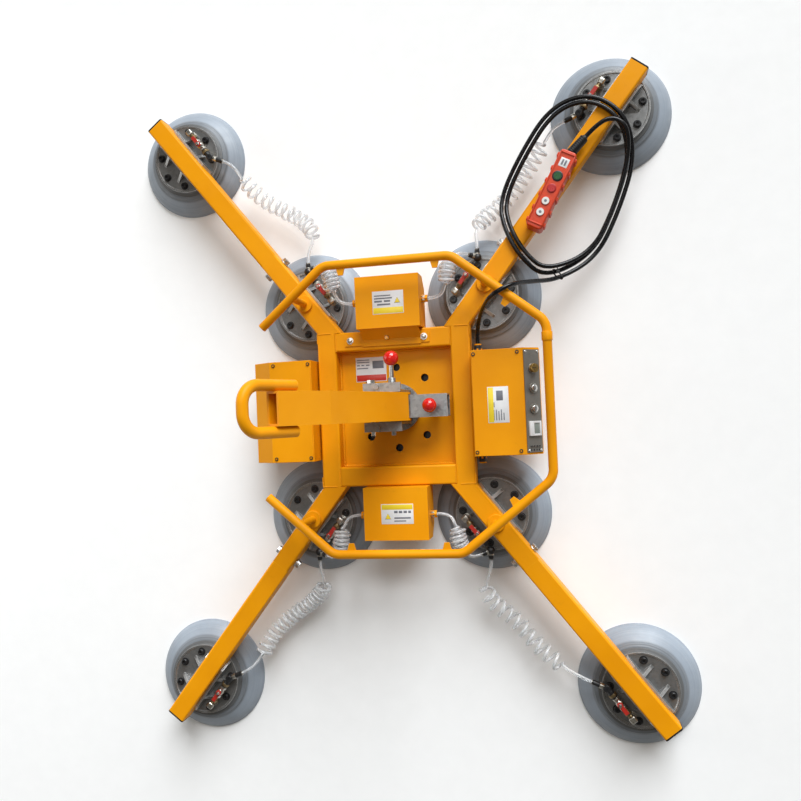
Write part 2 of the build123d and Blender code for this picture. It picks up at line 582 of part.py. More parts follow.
def outer_hose(quarter):
    """From the outer cup's fitting back to the tee at the inner cup."""
    coil = [(x, y, z) for (x, z), y in zip(COIL_STATIONS, COIL_SIDEWAYS[quarter])]
    port = (INNER_PORT[0] - CUP_SPACING, INNER_PORT[1], INNER_PORT[2])
    lead = [OUTER_PORT, (OUTER_PORT[0] - 24.5, OUTER_PORT[1] + 14, OUTER_PORT[2] - 1.75), coil[0]]
    tail = [coil[-1], (port[0] + 19.36, port[1] + 15.4, port[2]), port]
    return to_quarter(at_outer_cup(coiled_hose("outer hose " + quarter, lead, coil, tail)), quarter)


def feed_hose(quarter):
    """From the pump box to the tee at the inner cup."""
    port = at_inner_cup(Vertex(*FEED_PORT)).center()
    above_port = at_inner_cup(Vertex(FEED_PORT[0] - 8, FEED_PORT[1] + 23, FEED_PORT[2] + 10)).center()
    lead = [FEED_START, FEED_LEAD, FEED_COIL[0]]
    tail = [FEED_COIL[-1], tuple(above_port), tuple(port)]
    return to_quarter(coiled_hose("feed hose " + quarter, lead, FEED_COIL, tail), quarter)


# ---------------------------------------------------------------- the whole lifter
def main():
    os.makedirs("parts", exist_ok=True)
    save("main_frame", main_frame())
    save("index_plate", index_plate())
    save("guard_rail", guard_rail())
    save("arm_lock_bolts", *[to_quarter(at_outer_cup(lock_bolt()), quarter) for quarter in QUARTERS])
    save("pump_boxes", *[mirror(part, about=Plane.XZ) if turned else part
                         for turned in (False, True) for part in [pump_box(not turned)] + pump_box_fittings()])
    save("vacuum_pumps", *vacuum_pumps())
    save("battery_case", mirror(side_case(317), about=Plane.YZ))
    save("batteries", *batteries())
    holed_case = side_case(PANEL_HEAD[0])
    for y in (KNOB_Y,) + BUTTON_Y:
        holed_case -= case_hole(y)
    save("control_case", holed_case, cable_gland(), mirror(cable_gland(), about=Plane.XZ))
    save("side_box_covers", mirror(side_cover(317), about=Plane.YZ), side_cover(PANEL_HEAD[0]))
    save("control_panel", *control_panel())
    save("panel_knob", panel_knob())
    for number, y in enumerate(BUTTON_Y, 1):
        save(f"panel_button_{number}", panel_button(y))
    save("swivel_yoke", *swivel_yoke())
    save("tilt_bolt", tilt_bolt())
    save("lift_arm", lift_arm())
    save("index_plunger", index_plunger())
    save("tilt_lock_pin", tilt_lock_pin())
    save("pendant_body", pendant_body())
    for number, x in enumerate(PENDANT_BUTTONS, 1):
        save(f"pendant_button_{number}", pendant_button(x))
    save("pendant_cable", cord_tube("pendant cable", CABLE_ROUTE, CABLE_RADIUS))

    rubber, plate, lever = cup_rubber(), cup_plate(), valve_lever()
    inner_lever = mirror(lever, about=Plane.YZ)
    outer_set, inner_set, arm = outer_hardware(), inner_hardware(), extension_arm()
    inner_rubbers, inner_plates, inner_fittings = [], [], []
    for quarter in QUARTERS:
        save(f"extension_arm_{quarter}", *[to_quarter(at_outer_cup(part), quarter) for part in arm])
        save(f"cup_rubber_{quarter}", to_quarter(at_outer_cup(rubber), quarter))
        save(f"cup_plate_{quarter}", to_quarter(at_outer_cup(plate), quarter))
        save(f"cup_hardware_{quarter}", *[to_quarter(at_outer_cup(part), quarter) for part in outer_set])
        save(f"valve_lever_{quarter}", to_quarter(at_outer_cup(lever), quarter))
        save(f"inner_valve_lever_{quarter}", to_quarter(at_inner_cup(inner_lever), quarter))
        save(f"outer_hose_{quarter}", outer_hose(quarter))
        save(f"feed_hose_{quarter}", feed_hose(quarter))
        inner_rubbers.append(to_quarter(at_inner_cup(rubber), quarter))
        inner_plates.append(to_quarter(at_inner_cup(plate), quarter))
        inner_fittings += [to_quarter(at_inner_cup(part), quarter) for part in inner_set]
    save("inner_cup_rubbers", *inner_rubbers)
    save("inner_cup_plates", *inner_plates)
    save("inner_cup_hardware", *inner_fittings)


main()
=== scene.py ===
"""Looks of the eight-cup vacuum lifter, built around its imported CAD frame.

Metres, +Z up, origin on the swivel axis.
"""
import math

import bmesh
import bpy
from mathutils import Matrix, Vector


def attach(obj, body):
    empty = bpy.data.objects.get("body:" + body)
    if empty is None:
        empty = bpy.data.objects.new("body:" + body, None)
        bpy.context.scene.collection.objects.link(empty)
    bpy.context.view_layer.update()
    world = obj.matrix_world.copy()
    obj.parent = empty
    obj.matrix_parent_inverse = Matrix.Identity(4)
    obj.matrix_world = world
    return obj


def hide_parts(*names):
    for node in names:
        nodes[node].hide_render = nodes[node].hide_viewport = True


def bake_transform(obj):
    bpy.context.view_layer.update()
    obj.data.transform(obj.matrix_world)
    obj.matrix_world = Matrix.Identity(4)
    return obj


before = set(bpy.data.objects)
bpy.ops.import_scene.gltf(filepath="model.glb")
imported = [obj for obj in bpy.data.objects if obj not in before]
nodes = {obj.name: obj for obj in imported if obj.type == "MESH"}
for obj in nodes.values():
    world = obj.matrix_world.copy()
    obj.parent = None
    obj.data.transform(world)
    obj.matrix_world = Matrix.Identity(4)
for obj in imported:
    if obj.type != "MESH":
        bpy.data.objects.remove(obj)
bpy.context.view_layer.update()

# ---- layout, as in the CAD
MM = 0.001
ARM_ANGLE = math.radians(51.9)
OUTER_CUP = Vector((576, 722, 0))
CUP_SPACING = 559
QUARTERS = ("tr", "tl", "bl", "br")
SIGNS = {"tr": (1, 1), "tl": (-1, 1), "bl": (-1, -1), "br": (1, -1)}
VALVE_X, VALVE_Y, VALVE_Z = -14, 57, 80
PENDANT_CENTRE = Vector((418, 507, 133.5))
PENDANT_ANGLE = 61.4


def cup_matrix(quarter, inner=False):
    """From a cup's own frame (mm, X outward along the arm) to the world (mm)."""
    sx, sy = SIGNS[quarter]
    shift = Matrix.Translation((-CUP_SPACING, 0, 0)) if inner else Matrix.Identity(4)
    turn = Matrix.Rotation(ARM_ANGLE, 4, "Z")
    return Matrix.Diagonal((sx, sy, 1, 1)) @ Matrix.Translation(OUTER_CUP) @ turn @ shift


# ---- camera
def make_camera():
    right, up, back = (Vector((.9785, -.0432, -.2018)), Vector((.0473, .9988, .0155)), Vector((.2009, -.0247, .9793)))
    data = bpy.data.cameras.new("camera")
    data.sensor_width, data.lens = 36, 34.63
    data.clip_start, data.clip_end = .05, 30
    camera = bpy.data.objects.new("camera", data)
    turn = Matrix((right, up, back)).transposed()
    camera.matrix_world = Matrix.Translation((.4115, -.0319, 2.0392)) @ turn.to_quaternion().to_matrix().to_4x4()
    bpy.context.scene.collection.objects.link(camera)
    bpy.context.scene.camera = camera


make_camera()


# ---- material helpers
class Shader:
    """A Principled material with a few short calls for its nodes."""

    def __init__(self, name, color, rough, metallic=0.0, **sockets):
        self.material = bpy.data.materials.new(name)
        self.material.use_nodes = True
        self.tree = self.material.node_tree
        self.shader = self.tree.nodes["Principled BSDF"]
        self.set(self.shader, "Base Color", (*color, 1))
        self.set(self.shader, "Roughness", rough)
        self.set(self.shader, "Metallic", metallic)
        for key, value in sockets.items():
            self.set(self.shader, key.replace("_", " "), value)
        self.color, self.rough, self.bump_in = color, rough, None
        self.coords = self.node("ShaderNodeTexCoord").outputs["Object"]

    def node(self, kind, **options):
        made = self.tree.nodes.new(kind)
        for key, value in options.items():
            setattr(made, key, value)
        return made

    def set(self, node, socket, value):
        if hasattr(value, "links"):
            self.tree.links.new(value, node.inputs[socket])
        else:
            node.inputs[socket].default_value = value

    def stretch(self, x, y, z):
        mapping = self.node("ShaderNodeMapping")
        self.set(mapping, "Vector", self.coords)
        self.set(mapping, "Scale", (x, y, z))
        return mapping.outputs[0]

    def noise(self, scale, detail=4.0, rough=.5, where=None):
        made = self.node("ShaderNodeTexNoise")
        self.set(made, "Vector", where or self.coords)
        self.set(made, "Scale", scale)
        self.set(made, "Detail", detail)
        self.set(made, "Roughness", rough)
        return made.outputs["Fac"]

    def voronoi(self, scale, feature="F1", output="Distance", where=None):
        made = self.node("ShaderNodeTexVoronoi", feature=feature)
        self.set(made, "Vector", where or self.coords)
        self.set(made, "Scale", scale)
        return made.outputs[output]

    def ramp(self, value, low, high, out_low=0.0, out_high=1.0):
        made = self.node("ShaderNodeMapRange")
        for socket, number in zip(("Value", "From Min", "From Max", "To Min", "To Max"),
                                  (value, low, high, out_low, out_high)):
            self.set(made, socket, number)
        return made.outputs[0]

    def math(self, kind, a, b=0.0):
        made = self.node("ShaderNodeMath", operation=kind)
        self.set(made, 0, a)
        self.set(made, 1, b)
        return made.outputs[0]

    def mix(self, share, a, b):
        made = self.node("ShaderNodeMix", data_type="RGBA")
        for index, value in ((0, share), (6, a), (7, b)):
            if hasattr(value, "links"):
                self.tree.links.new(value, made.inputs[index])
            else:
                made.inputs[index].default_value = value if index == 0 else (*value, 1)
        return made.outputs[2]

    def split(self):
        made = self.node("ShaderNodeSeparateXYZ")
        self.set(made, 0, self.coords)
        return made.outputs

    def edges(self, radius):
        """How near a sharp edge is: 0 on flats, up to 1 at an edge."""
        bevel = self.node("ShaderNodeBevel", samples=4)
        self.set(bevel, "Radius", radius)
        normal = self.node("ShaderNodeNewGeometry").outputs["Normal"]
        dot = self.node("ShaderNodeVectorMath", operation="DOT_PRODUCT")
        self.set(dot, 0, bevel.outputs[0])
        self.set(dot, 1, normal)
        return self.ramp(dot.outputs["Value"], 1.0, .88)

    def paint_with(self, color=None, rough=None, bump=None, strength=.3, distance=.0005):
        if color is not None:
            self.set(self.shader, "Base Color", color)
        if rough is not None:
            self.set(self.shader, "Roughness", rough)
        if bump is not None:
            made = self.node("ShaderNodeBump")
            self.set(made, "Height", bump)
            self.set(made, "Strength", strength)
            self.set(made, "Distance", distance)
            if self.bump_in is not None:
                self.set(made, "Normal", self.bump_in)
            self.bump_in = made.outputs[0]
            self.set(self.shader, "Normal", self.bump_in)
        return self


def shade(color, factor):
    return tuple(min(1, c * factor) for c in color)


# ---- materials
def paint(name="paint"):
    """Orange-yellow powder coat: orange peel, faint clouding, a little dirt, edges rubbed pale and a few chips."""
    base = (.80, .298, .0015)
    s = Shader(name, base, .42, Specular_IOR_Level=.14)
    color = s.mix(s.ramp(s.noise(6, 3), .3, .7), shade(base, .93), (.84, .335, .003))
    grime = s.ramp(s.noise(31, 8, .7), .62, .80, 0, .22)
    color = s.mix(grime, color, (.34, .13, .004))
    edge_wear_and_highlight = s.math("MULTIPLY", s.edges(.0020), s.ramp(s.noise(60, 5, .7), .40, .62))
    color = s.mix(s.math("MULTIPLY", edge_wear_and_highlight, .55), color, (.93, .50, .035))
    chip = s.math("MULTIPLY", s.edges(.0012), s.ramp(s.noise(150, 4, .8), .66, .70))
    color = s.mix(chip, color, (.10, .06, .03))
    rough = s.ramp(s.noise(40, 5), .3, .7, .34, .50)
    s.paint_with(color, rough, s.noise(900, 2), .10, .0004)
    scratch = s.noise(60, 6, .7, s.stretch(1, 14, 3))
    return s.paint_with(bump=s.ramp(scratch, .62, .66), strength=.05, distance=.0002).material


def cup_radius(s):
    """Distance to the nearest cup's axis, in metres."""
    x, y, _ = s.split()
    x, y = s.math("ABSOLUTE", x), s.math("ABSOLUTE", y)
    radii = []
    for spacing in (0, CUP_SPACING):
        centre = OUTER_CUP - Vector((math.cos(ARM_ANGLE), math.sin(ARM_ANGLE), 0)) * spacing
        dx, dy = s.math("SUBTRACT", x, centre.x * MM), s.math("SUBTRACT", y, centre.y * MM)
        radii.append(s.math("SQRT", s.math("ADD", s.math("MULTIPLY", dx, dx), s.math("MULTIPLY", dy, dy))))
    return s.math("MINIMUM", *radii)


RUBBER_GREY = (.262, .298, .345)


def rubber():
    """Pale blue-grey vulcanised rubber with faint moulding rings, dust and light scuffs, and painted shade darkening
    the crevice next to the plate.
    """
    s = Shader("rubber", RUBBER_GREY, .42, Specular_IOR_Level=.45)
    radius = cup_radius(s)
    color = s.mix(s.ramp(s.noise(8, 5, .6), .3, .72), shade(RUBBER_GREY, .86), (.315, .36, .42))
    band = s.noise(1, 5, .6, ring_space(s, radius, 260))
    color = s.mix(s.ramp(band, .42, .66, 0, .45), color, (.36, .405, .465))
    dust = s.ramp(s.noise(70, 8, .75), .52, .80, 0, .22)
    color = s.mix(dust, color, (.42, .41, .39))
    # painted shade: a dark ring on the bell's top, in the crevice between the plate and the rubber
    groove_shade = s.math("MULTIPLY", s.ramp(radius, .1185, .1135), s.ramp(radius, .090, .096))
    color = s.mix(s.math("MULTIPLY", groove_shade, .55), color, (.085, .085, .082))
    s.paint_with(color, s.ramp(s.noise(30, 6, .7), .3, .7, .32, .52), s.noise(420, 4), .14, .0004)
    s.paint_with(bump=band, strength=.12, distance=.0012)
    return s.paint_with(bump=s.noise(32, 4), strength=.06, distance=.002).material


def ring_space(s, radius, scale):
    """Coordinates that run with the radius alone, for rings turned about a cup's axis."""
    made = s.node("ShaderNodeCombineXYZ")
    s.set(made, 0, s.math("MULTIPLY", radius, scale))
    return made.outputs[0]


def metal(name, color, rough, scale=160, brushed=(1, 1, 1), spots=.25, bump=.1, metallic=1.0):
    """Bare metal with fine grain, and stains that dull it."""
    s = Shader(name, color, rough, metallic)
    grain = s.noise(scale, 4, .6, s.stretch(*brushed))
    stain = s.ramp(s.noise(28, 6, .65), .5, .75, 0, spots)
    tint = s.mix(s.ramp(grain, .3, .7), shade(color, .86), shade(color, 1.10))
    tint = s.mix(stain, tint, shade(color, .55))
    return s.paint_with(tint, s.ramp(grain, .3, .7, rough * .8, rough * 1.35), grain, bump, .0003).material


def galvanised():
    """Zinc with spangles and dull patches."""
    base = (.36, .37, .375)
    s = Shader("galvanised", base, .4, .9)
    spangle = s.voronoi(150, output="Color")
    grey = s.node("ShaderNodeRGBToBW")
    s.set(grey, 0, spangle)
    color = s.mix(grey.outputs[0], shade(base, .72), shade(base, 1.18))
    color = s.mix(s.ramp(s.noise(35, 7, .7), .55, .75, 0, .5), color, (.17, .165, .155))
    # painted highlight: the zinc's edges are lightened, broken up by noise
    edge_wear_and_highlight = s.math("MULTIPLY", s.edges(.0016), s.ramp(s.noise(80, 5, .7), .38, .55))
    color = s.mix(s.math("MULTIPLY", edge_wear_and_highlight, .8), color, (.78, .78, .76))
    rough = s.ramp(grey.outputs[0], 0, 1, .30, .50)
    return s.paint_with(color, rough, s.noise(300, 3), .08, .0003).material


def plastic(name, color, rough, grain=700, bump=.06, vary=.1, **sockets):
    s = Shader(name, color, rough, **sockets)
    tint = s.mix(s.ramp(s.noise(18, 5, .6), .3, .7), shade(color, 1 - vary), shade(color, 1 + vary))
    return s.paint_with(tint, s.ramp(s.noise(50, 6, .7), .3, .7, rough * .8, rough * 1.3),
                        s.noise(grain, 2), bump, .0003).material


def cast_plate():
    """Cast aluminium with turning marks round each cup's centre; painted highlights lighten its upstanding ribs and its
    edges.

    Its outer rim, in the crevice next to the rubber, is made dark and non-metallic as painted shade.
    """
    base = (.20, .20, .198)
    s = Shader("cast_plate", base, .4)
    radius = cup_radius(s)
    rings = s.noise(1, 6, .7, ring_space(s, radius, 900))
    color = s.mix(s.ramp(s.noise(45, 6, .7), .3, .7), shade(base, .80), shade(base, 1.22))
    color = s.mix(s.ramp(rings, .45, .65, 0, .35), color, shade(base, 1.5))
    color = s.mix(s.ramp(s.noise(150, 5, .7), .56, .72, 0, .5), color, (.085, .08, .075))
    z = s.split()[2]
    # painted highlight: the tops of the channel walls and gussets are lightened
    raised_rib_highlight = s.math("MULTIPLY", s.ramp(z, .0585, .062), s.ramp(radius, .091, .088))
    color = s.mix(s.math("MULTIPLY", raised_rib_highlight, .72), color, (.50, .50, .495))
    # painted highlight on the plate's edges, broken up by noise
    edge_wear_and_highlight = s.math("MULTIPLY", s.edges(.0024), s.ramp(s.noise(70, 5, .7), .28, .48))
    color = s.mix(s.math("MULTIPLY", edge_wear_and_highlight, .85), color, (.72, .72, .71))
    # painted shade: the rim past the plate's edge, in the crevice by the rubber, is made dark and not metallic
    skirt_groove_shade = s.ramp(radius, .0935, .0945)
    color = s.mix(skirt_groove_shade, color, (.115, .118, .12))
    s.paint_with(color, s.ramp(s.noise(120, 5, .6), .3, .7, .30, .50), rings, .10, .0003)
    s.set(s.shader, "Metallic", s.ramp(skirt_groove_shade, 0, 1, .72, 0))
    return s.paint_with(bump=s.noise(240, 4, .6), strength=.22, distance=.0004).material


def clear_hose():
    """Clear polyurethane tube, slightly milky."""
    s = Shader("clear_hose", (.93, .95, .97), .12, Transmission_Weight=.72, IOR=1.42, Coat_Weight=.5,
               Coat_Roughness=.06)
    color = s.mix(s.ramp(s.noise(40, 4), .3, .7), (.86, .89, .92), (.98, .99, 1))
    return s.paint_with(color, s.ramp(s.noise(160, 4), .3, .7, .07, .2), s.noise(300, 2), .05, .0003).material


def cable_rubber():
    s = Shader("cable_rubber", (.003, .003, .004), .24, Specular_IOR_Level=.35)
    color = s.mix(s.ramp(s.noise(60, 6, .7), .55, .8, 0, .7), (.003, .003, .004), (.014, .013, .012))
    return s.paint_with(color, s.ramp(s.noise(90, 5, .7), .3, .7, .18, .34), s.noise(700, 3), .08, .0003).material


def two_tone(name, first, second, share, rough_a, rough_b, metal_a=0.0, metal_b=0.0, **sockets):
    """One material for a node of two finishes. share(shader) is 0 for the first and 1 for the second."""
    s = Shader(name, first, rough_a, **sockets)
    where = share(s)
    fine = s.noise(200, 4, .6)
    a = s.mix(s.ramp(fine, .3, .7), shade(first, .86), shade(first, 1.1))
    b = s.mix(s.ramp(fine, .3, .7), shade(second, .86), shade(second, 1.1))
    s.paint_with(s.mix(where, a, b), s.ramp(where, 0, 1, rough_a, rough_b), fine, .06, .0003)
    s.set(s.shader, "Metallic", s.ramp(where, 0, 1, metal_a, metal_b))
    return s.material


def near_point(point, radius):
    """1 inside a ball, 0 outside it."""
    def share(s):
        gap = s.node("ShaderNodeVectorMath", operation="DISTANCE")
        s.set(gap, 0, s.coords)
        s.set(gap, 1, point)
        return s.ramp(gap.outputs["Value"], radius, radius + .0002, 1, 0)
    return share


PAINT = paint()
RUBBER = rubber()
ZINC = galvanised()
PLATE = cast_plate()
STEEL = metal("bright_steel", (.66, .66, .65), .26, 260)
NICKEL = metal("nickel", (.50, .48, .43), .28, 320, spots=.5)
BRASS = metal("machined_brass", (.50, .33, .11), .30, 300)
# dull, tarnished brass for the valve, darkened further as painted shade of the arm above it
DULL_SHADED_BRASS = metal("dull_shaded_brass", (.26, .19, .10), .42, 240, spots=.6)
PANEL_STEEL = metal("panel_steel", (.215, .205, .185), .44, 60, (30, 1, 30), .6, metallic=.45)
BLACK_OXIDE = plastic("black_oxide", (.010, .010, .011), .34, 500, .1)
BLACK = plastic("black_plastic", (.010, .010, .011), .40, 600, .12)
GRIP_RED = plastic("grip_red", (.40, .018, .010), .38, 400, .08)
PENDANT_SHELL = (.60, .042, .003)
GREEN = plastic("green_button", (.006, .075, .015), .28, 500, .03)
RED_BUTTON = plastic("red_button", (.42, .010, .012), .28, 500, .03)
WHITE = plastic("white_button", (.72, .72, .69), .3, 500, .03)
LABEL_WHITE = plastic("label_white", (.74, .75, .76), .32, 900, .02)
LABEL_YELLOW = plastic("label_yellow", (.82, .62, .03), .32, 900, .02)
LABEL_RED = plastic("label_red", (.52, .03, .02), .32, 900, .02)
LABEL_GREY = plastic("label_grey", (.16, .17, .20), .36, 900, .02)
SCREEN = plastic("screen", (.24, .27, .25), .12, 900, .0, Coat_Weight=.6)
HOSE = clear_hose()
CABLE = cable_rubber()
FLOOR = plastic("floor_paper", (.93, .93, .93), .75, 60, .02, .012)


# ---- mesh helpers; parts are (verts in mm, faces)
def lathe(profile, count=64):
    """Turns (radius, height) points about Z. A radius of 0 makes a pole."""
    verts, faces, rings = [], [], []
    for r, z in profile:
        if r < 1e-6:
            rings.append([len(verts)])
            verts.append(Vector((0, 0, z)))
        else:
            rings.append(list(range(len(verts), len(verts) + count)))
            verts += [Vector((r * math.cos(2 * math.pi * k / count), r * math.sin(2 * math.pi * k / count), z))
                      for k in range(count)]
    for low, high in zip(rings, rings[1:]):
        for k in range(count):
            n = (k + 1) % count
            if len(low) == 1 and len(high) > 1:
                faces.append((low[0], high[n], high[k]))
            elif len(high) == 1 and len(low) > 1:
                faces.append((low[k], low[n], high[0]))
            elif len(low) > 1:
                faces.append((low[k], low[n], high[n], high[k]))
    return verts, faces


def closed_lathe(profile, count=64):
    verts, faces = lathe(profile + profile[:1], count)
    last = len(verts) - count
    return verts[:last], [tuple(i - last if i >= last else i for i in f) for f in faces]


def from_bmesh(bm):
    bm.normal_update()
    bm.verts.index_update()
    verts, faces = [v.co.copy() for v in bm.verts], [tuple(v.index for v in f.verts) for f in bm.faces]
    bm.free()
    return verts, faces


def rounded_box(sx, sy, sz, radius=1.0, segments=3):
    bm = bmesh.new()
    bmesh.ops.create_cube(bm, size=1)
    bmesh.ops.scale(bm, vec=(sx, sy, sz), verts=bm.verts)
    bmesh.ops.bevel(bm, geom=bm.edges[:], offset=radius, segments=segments, profile=.5, affect="EDGES")
    return from_bmesh(bm)


def prism(outline, thickness, bevel=.4):
    """A plate with a flat outline, bevelled edges, standing on Z = 0."""
    bm = bmesh.new()
    face = bm.faces.new([bm.verts.new((x, y, 0)) for x, y in outline])
    for v in [e for e in bmesh.ops.extrude_face_region(bm, geom=[face])["geom"] if isinstance(e, bmesh.types.BMVert)]:
        v.co.z += thickness
    bmesh.ops.recalc_face_normals(bm, faces=bm.faces)
    if bevel:
        bmesh.ops.bevel(bm, geom=bm.edges[:], offset=bevel, segments=2, profile=.5, affect="EDGES")
    return from_bmesh(bm)


def polygon(sides, across_flats):
    r = across_flats / 2 / math.cos(math.pi / sides)
    return [(r * math.cos(2 * math.pi * (k + .5) / sides), r * math.sin(2 * math.pi * (k + .5) / sides))
            for k in range(sides)]


def along(start, end):
    """Puts a part made on +Z from the origin onto a line from start towards end."""
    start, end = Vector(start), Vector(end)
    return Matrix.Translation(start) @ (end - start).to_track_quat("Z", "X").to_matrix().to_4x4()


def rod_part(start, end, radius, edge=.6, count=24):
    length = (Vector(end) - Vector(start)).length
    edge = min(edge, length / 3, radius / 2)
    part = lathe([(0, 0), (radius - edge, 0), (radius, edge), (radius, length - edge), (radius - edge, length),
                  (0, length)], count)
    return part, along(start, end)


def hex_part(start, end, across, bevel=.6):
    return prism(polygon(6, across), (Vector(end) - Vector(start)).length, bevel), along(start, end)


def tube(points, radius, count=12, radii=None):
    """A round tube whose ring centres are the points, closed at both ends."""
    points = [Vector(p) for p in points]
    verts, faces = [], []
    last = len(points) - 1
    side = None
    for i, p in enumerate(points):
        tangent = (points[min(i + 1, last)] - points[max(i - 1, 0)]).normalized()
        if side is None:
            side = tangent.orthogonal().normalized()
        side = (side - tangent * side.dot(tangent)).normalized()
        up = tangent.cross(side)
        r = radii[i] if radii else radius
        for k in range(count):
            a = 2 * math.pi * k / count
            verts.append(p + (side * math.cos(a) + up * math.sin(a)) * r)
        if i:
            for k in range(count):
                n = (k + 1) % count
                faces.append(((i - 1) * count + k, (i - 1) * count + n, i * count + n, i * count + k))
    faces.append(tuple(reversed(range(count))))
    faces.append(tuple(range(last * count, (last + 1) * count)))
    return verts, faces


def piece(name, parts, body, sharp=38, place=None, replaces=()):
    """Joins parts, each ((verts, faces), matrix or None, material), into one object that rides on a body."""
    mesh = bpy.data.meshes.new(name)
    materials, verts, faces, marks = [], [], [], []
    for (part_verts, part_faces), matrix, material in parts:
        total = (place or Matrix.Identity(4)) @ (matrix or Matrix.Identity(4))
        flipped = total.determinant() < 0
        base = len(verts)
        verts += [total @ v * MM for v in part_verts]
        faces += [tuple(i + base for i in (reversed(f) if flipped else f)) for f in part_faces]
        if material not in materials:
            materials.append(material)
        marks += [materials.index(material)] * len(part_faces)
    mesh.from_pydata(verts, [], faces)
    for material in materials:
        mesh.materials.append(material)
    mesh.polygons.foreach_set("material_index", marks)
    mesh.shade_smooth()
    mesh.set_sharp_from_angle(angle=math.radians(sharp))
    made = bpy.data.objects.new(name, mesh)
    bpy.context.scene.collection.objects.link(made)
    if body:
        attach(made, body)
    if replaces:
        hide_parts(*replaces)
    return made


def weld_bead(points, radius=2.6, pitch=3.4):
    """A bead with the ripples of a hand-made weld, along straight runs."""
    points = [Vector(p) for p in points]
    line, radii = [], []
    count = 0
    for a, b in zip(points, points[1:]):
        steps = max(4, round((b - a).length / (pitch / 4)))
        for k in range(steps + (b is points[-1])):
            line.append(a.lerp(b, k / steps))
            radii.append(radius * (1 + .16 * math.cos(count * math.pi / 2) + .07 * math.sin(count * 1.7)))
            count += 1
    radii[0] = radii[-1] = radius * .4
    return tube(line, radius, 8, radii)


# ---- CAD nodes that stay: soft edges and materials
def dress(node, material, width=.0009, segments=2, limit=32):
    o = nodes[node]
    o.data.materials.clear()
    o.data.materials.append(material)
    if width:
        weld = o.modifiers.new("weld", "WELD")
        weld.merge_threshold = 1e-5
        bevel = o.modifiers.new("bevel", "BEVEL")
        bevel.width, bevel.segments = width, segments
        bevel.limit_method, bevel.angle_limit = "ANGLE", math.radians(limit)
        bevel.harden_normals = True
    return o


def end_plug(s):
    """1 on an extension's black end plug, which lies past the end of its tube."""
    x, y, _ = s.split()
    out = s.math("ADD",
                 s.math("MULTIPLY", s.math("SUBTRACT", s.math("ABSOLUTE", x), OUTER_CUP.x * MM), math.cos(ARM_ANGLE)),
                 s.math("MULTIPLY", s.math("SUBTRACT", s.math("ABSOLUTE", y), OUTER_CUP.y * MM), math.sin(ARM_ANGLE)))
    return s.ramp(out, .10495, .10505)


def arm_paint():
    """The powder coat, with the black plug at the far end."""
    material = paint("arm_paint")
    s = Shader.__new__(Shader)
    s.material, s.tree, s.bump_in = material, material.node_tree, None
    s.shader = s.tree.nodes["Principled BSDF"]
    s.coords = next(n for n in s.tree.nodes if n.type == "TEX_COORD").outputs["Object"]
    link = s.shader.inputs["Base Color"].links[0].from_socket
    s.set(s.shader, "Base Color", s.mix(end_plug(s), link, (.014, .014, .015)))
    return material


ARM_PAINT = arm_paint()
for name in ("main_frame", "index_plate", "guard_rail", "pump_boxes", "side_box_covers",
             "battery_case", "control_case", "lift_arm"):
    dress(name, PAINT)
for q in QUARTERS:
    dress(f"extension_arm_{q}", ARM_PAINT)
    dress(f"cup_plate_{q}", PLATE, .0012)
    dress(f"valve_lever_{q}", GRIP_RED, .0006)
    dress(f"inner_valve_lever_{q}", GRIP_RED, .0006)
dress("inner_cup_plates", PLATE, .0012)
dress("arm_lock_bolts", STEEL, .0006)
dress("swivel_yoke", ZINC, .0008)
dress("tilt_bolt", STEEL, .0006)
dress("control_panel", PANEL_STEEL, .0005)
dress("batteries", BLACK, .003)
dress("vacuum_pumps", BLACK, .002)
dress("panel_knob", BRASS, .0006)
dress("panel_button_1", STEEL, .0008)
dress("panel_button_2", STEEL, .0008)
BALL_RED, PIN_STEEL = (.62, .010, .008), (.60, .60, .59)
dress("index_plunger", two_tone("plunger_finish", PIN_STEEL, BALL_RED, near_point((.105, 0, .202), .0176), .28, .16,
                                1, 0, Coat_Weight=.4), 0)
dress("tilt_lock_pin", two_tone("lock_pin_finish", PIN_STEEL, BALL_RED, near_point((.010, .121, .178), .0191), .28,
                                .16, 1, 0, Coat_Weight=.4), 0)
for number, material in enumerate((GREEN, RED_BUTTON, WHITE, WHITE), 1):
    dress(f"pendant_button_{number}", material, .0012, 3)


def past_pendant(s):
    """1 beyond the end of the pendant's shell, where its strain relief is."""
    x, y, _ = s.split()
    turn = math.radians(PENDANT_ANGLE)
    out = s.math("ADD",
                 s.math("MULTIPLY", s.math("SUBTRACT", x, PENDANT_CENTRE.x * MM), math.cos(turn)),
                 s.math("MULTIPLY", s.math("SUBTRACT", y, PENDANT_CENTRE.y * MM), math.sin(turn)))
    return s.ramp(out, .0998, .1002)


SHELL = plastic("pendant_shell", PENDANT_SHELL, .40, 520, .16)
dress("pendant_body", two_tone("pendant_finish", PENDANT_SHELL, (.008, .008, .009), past_pendant, .40, .45), .0012)


# ---- suction cups
BELL_OUTSIDE = [(150, 0), (150.4, 1.2), (150, 3), (148.6, 5.2), (147.2, 6.4), (146.4, 8.6), (144.4, 12),
                (141.4, 15.6), (137.6, 19.4), (133.0, 23.2), (128.2, 26.8), (123.2, 30.2), (118.4, 33.2),
                (114.6, 35.8), (112.6, 37.8), (111.9, 39.8), (110.6, 41.0), (108.2, 41.4), (106.4, 42.2), (104.6, 43.6),
                (102.2, 44.0)]
BELL_INSIDE = [(98, 44), (60, 44), (0, 44), (0, 35.2), (40, 35.2), (41, 34.4), (43, 34.4), (44, 35.2), (68, 35.2),
               (69, 34.4), (71, 34.4), (72, 35.2), (98, 35), (106, 31.4), (112, 28), (119, 23.2), (126, 18),
               (132, 12.4), (137, 7.6), (139.4, 4), (140, 0)]


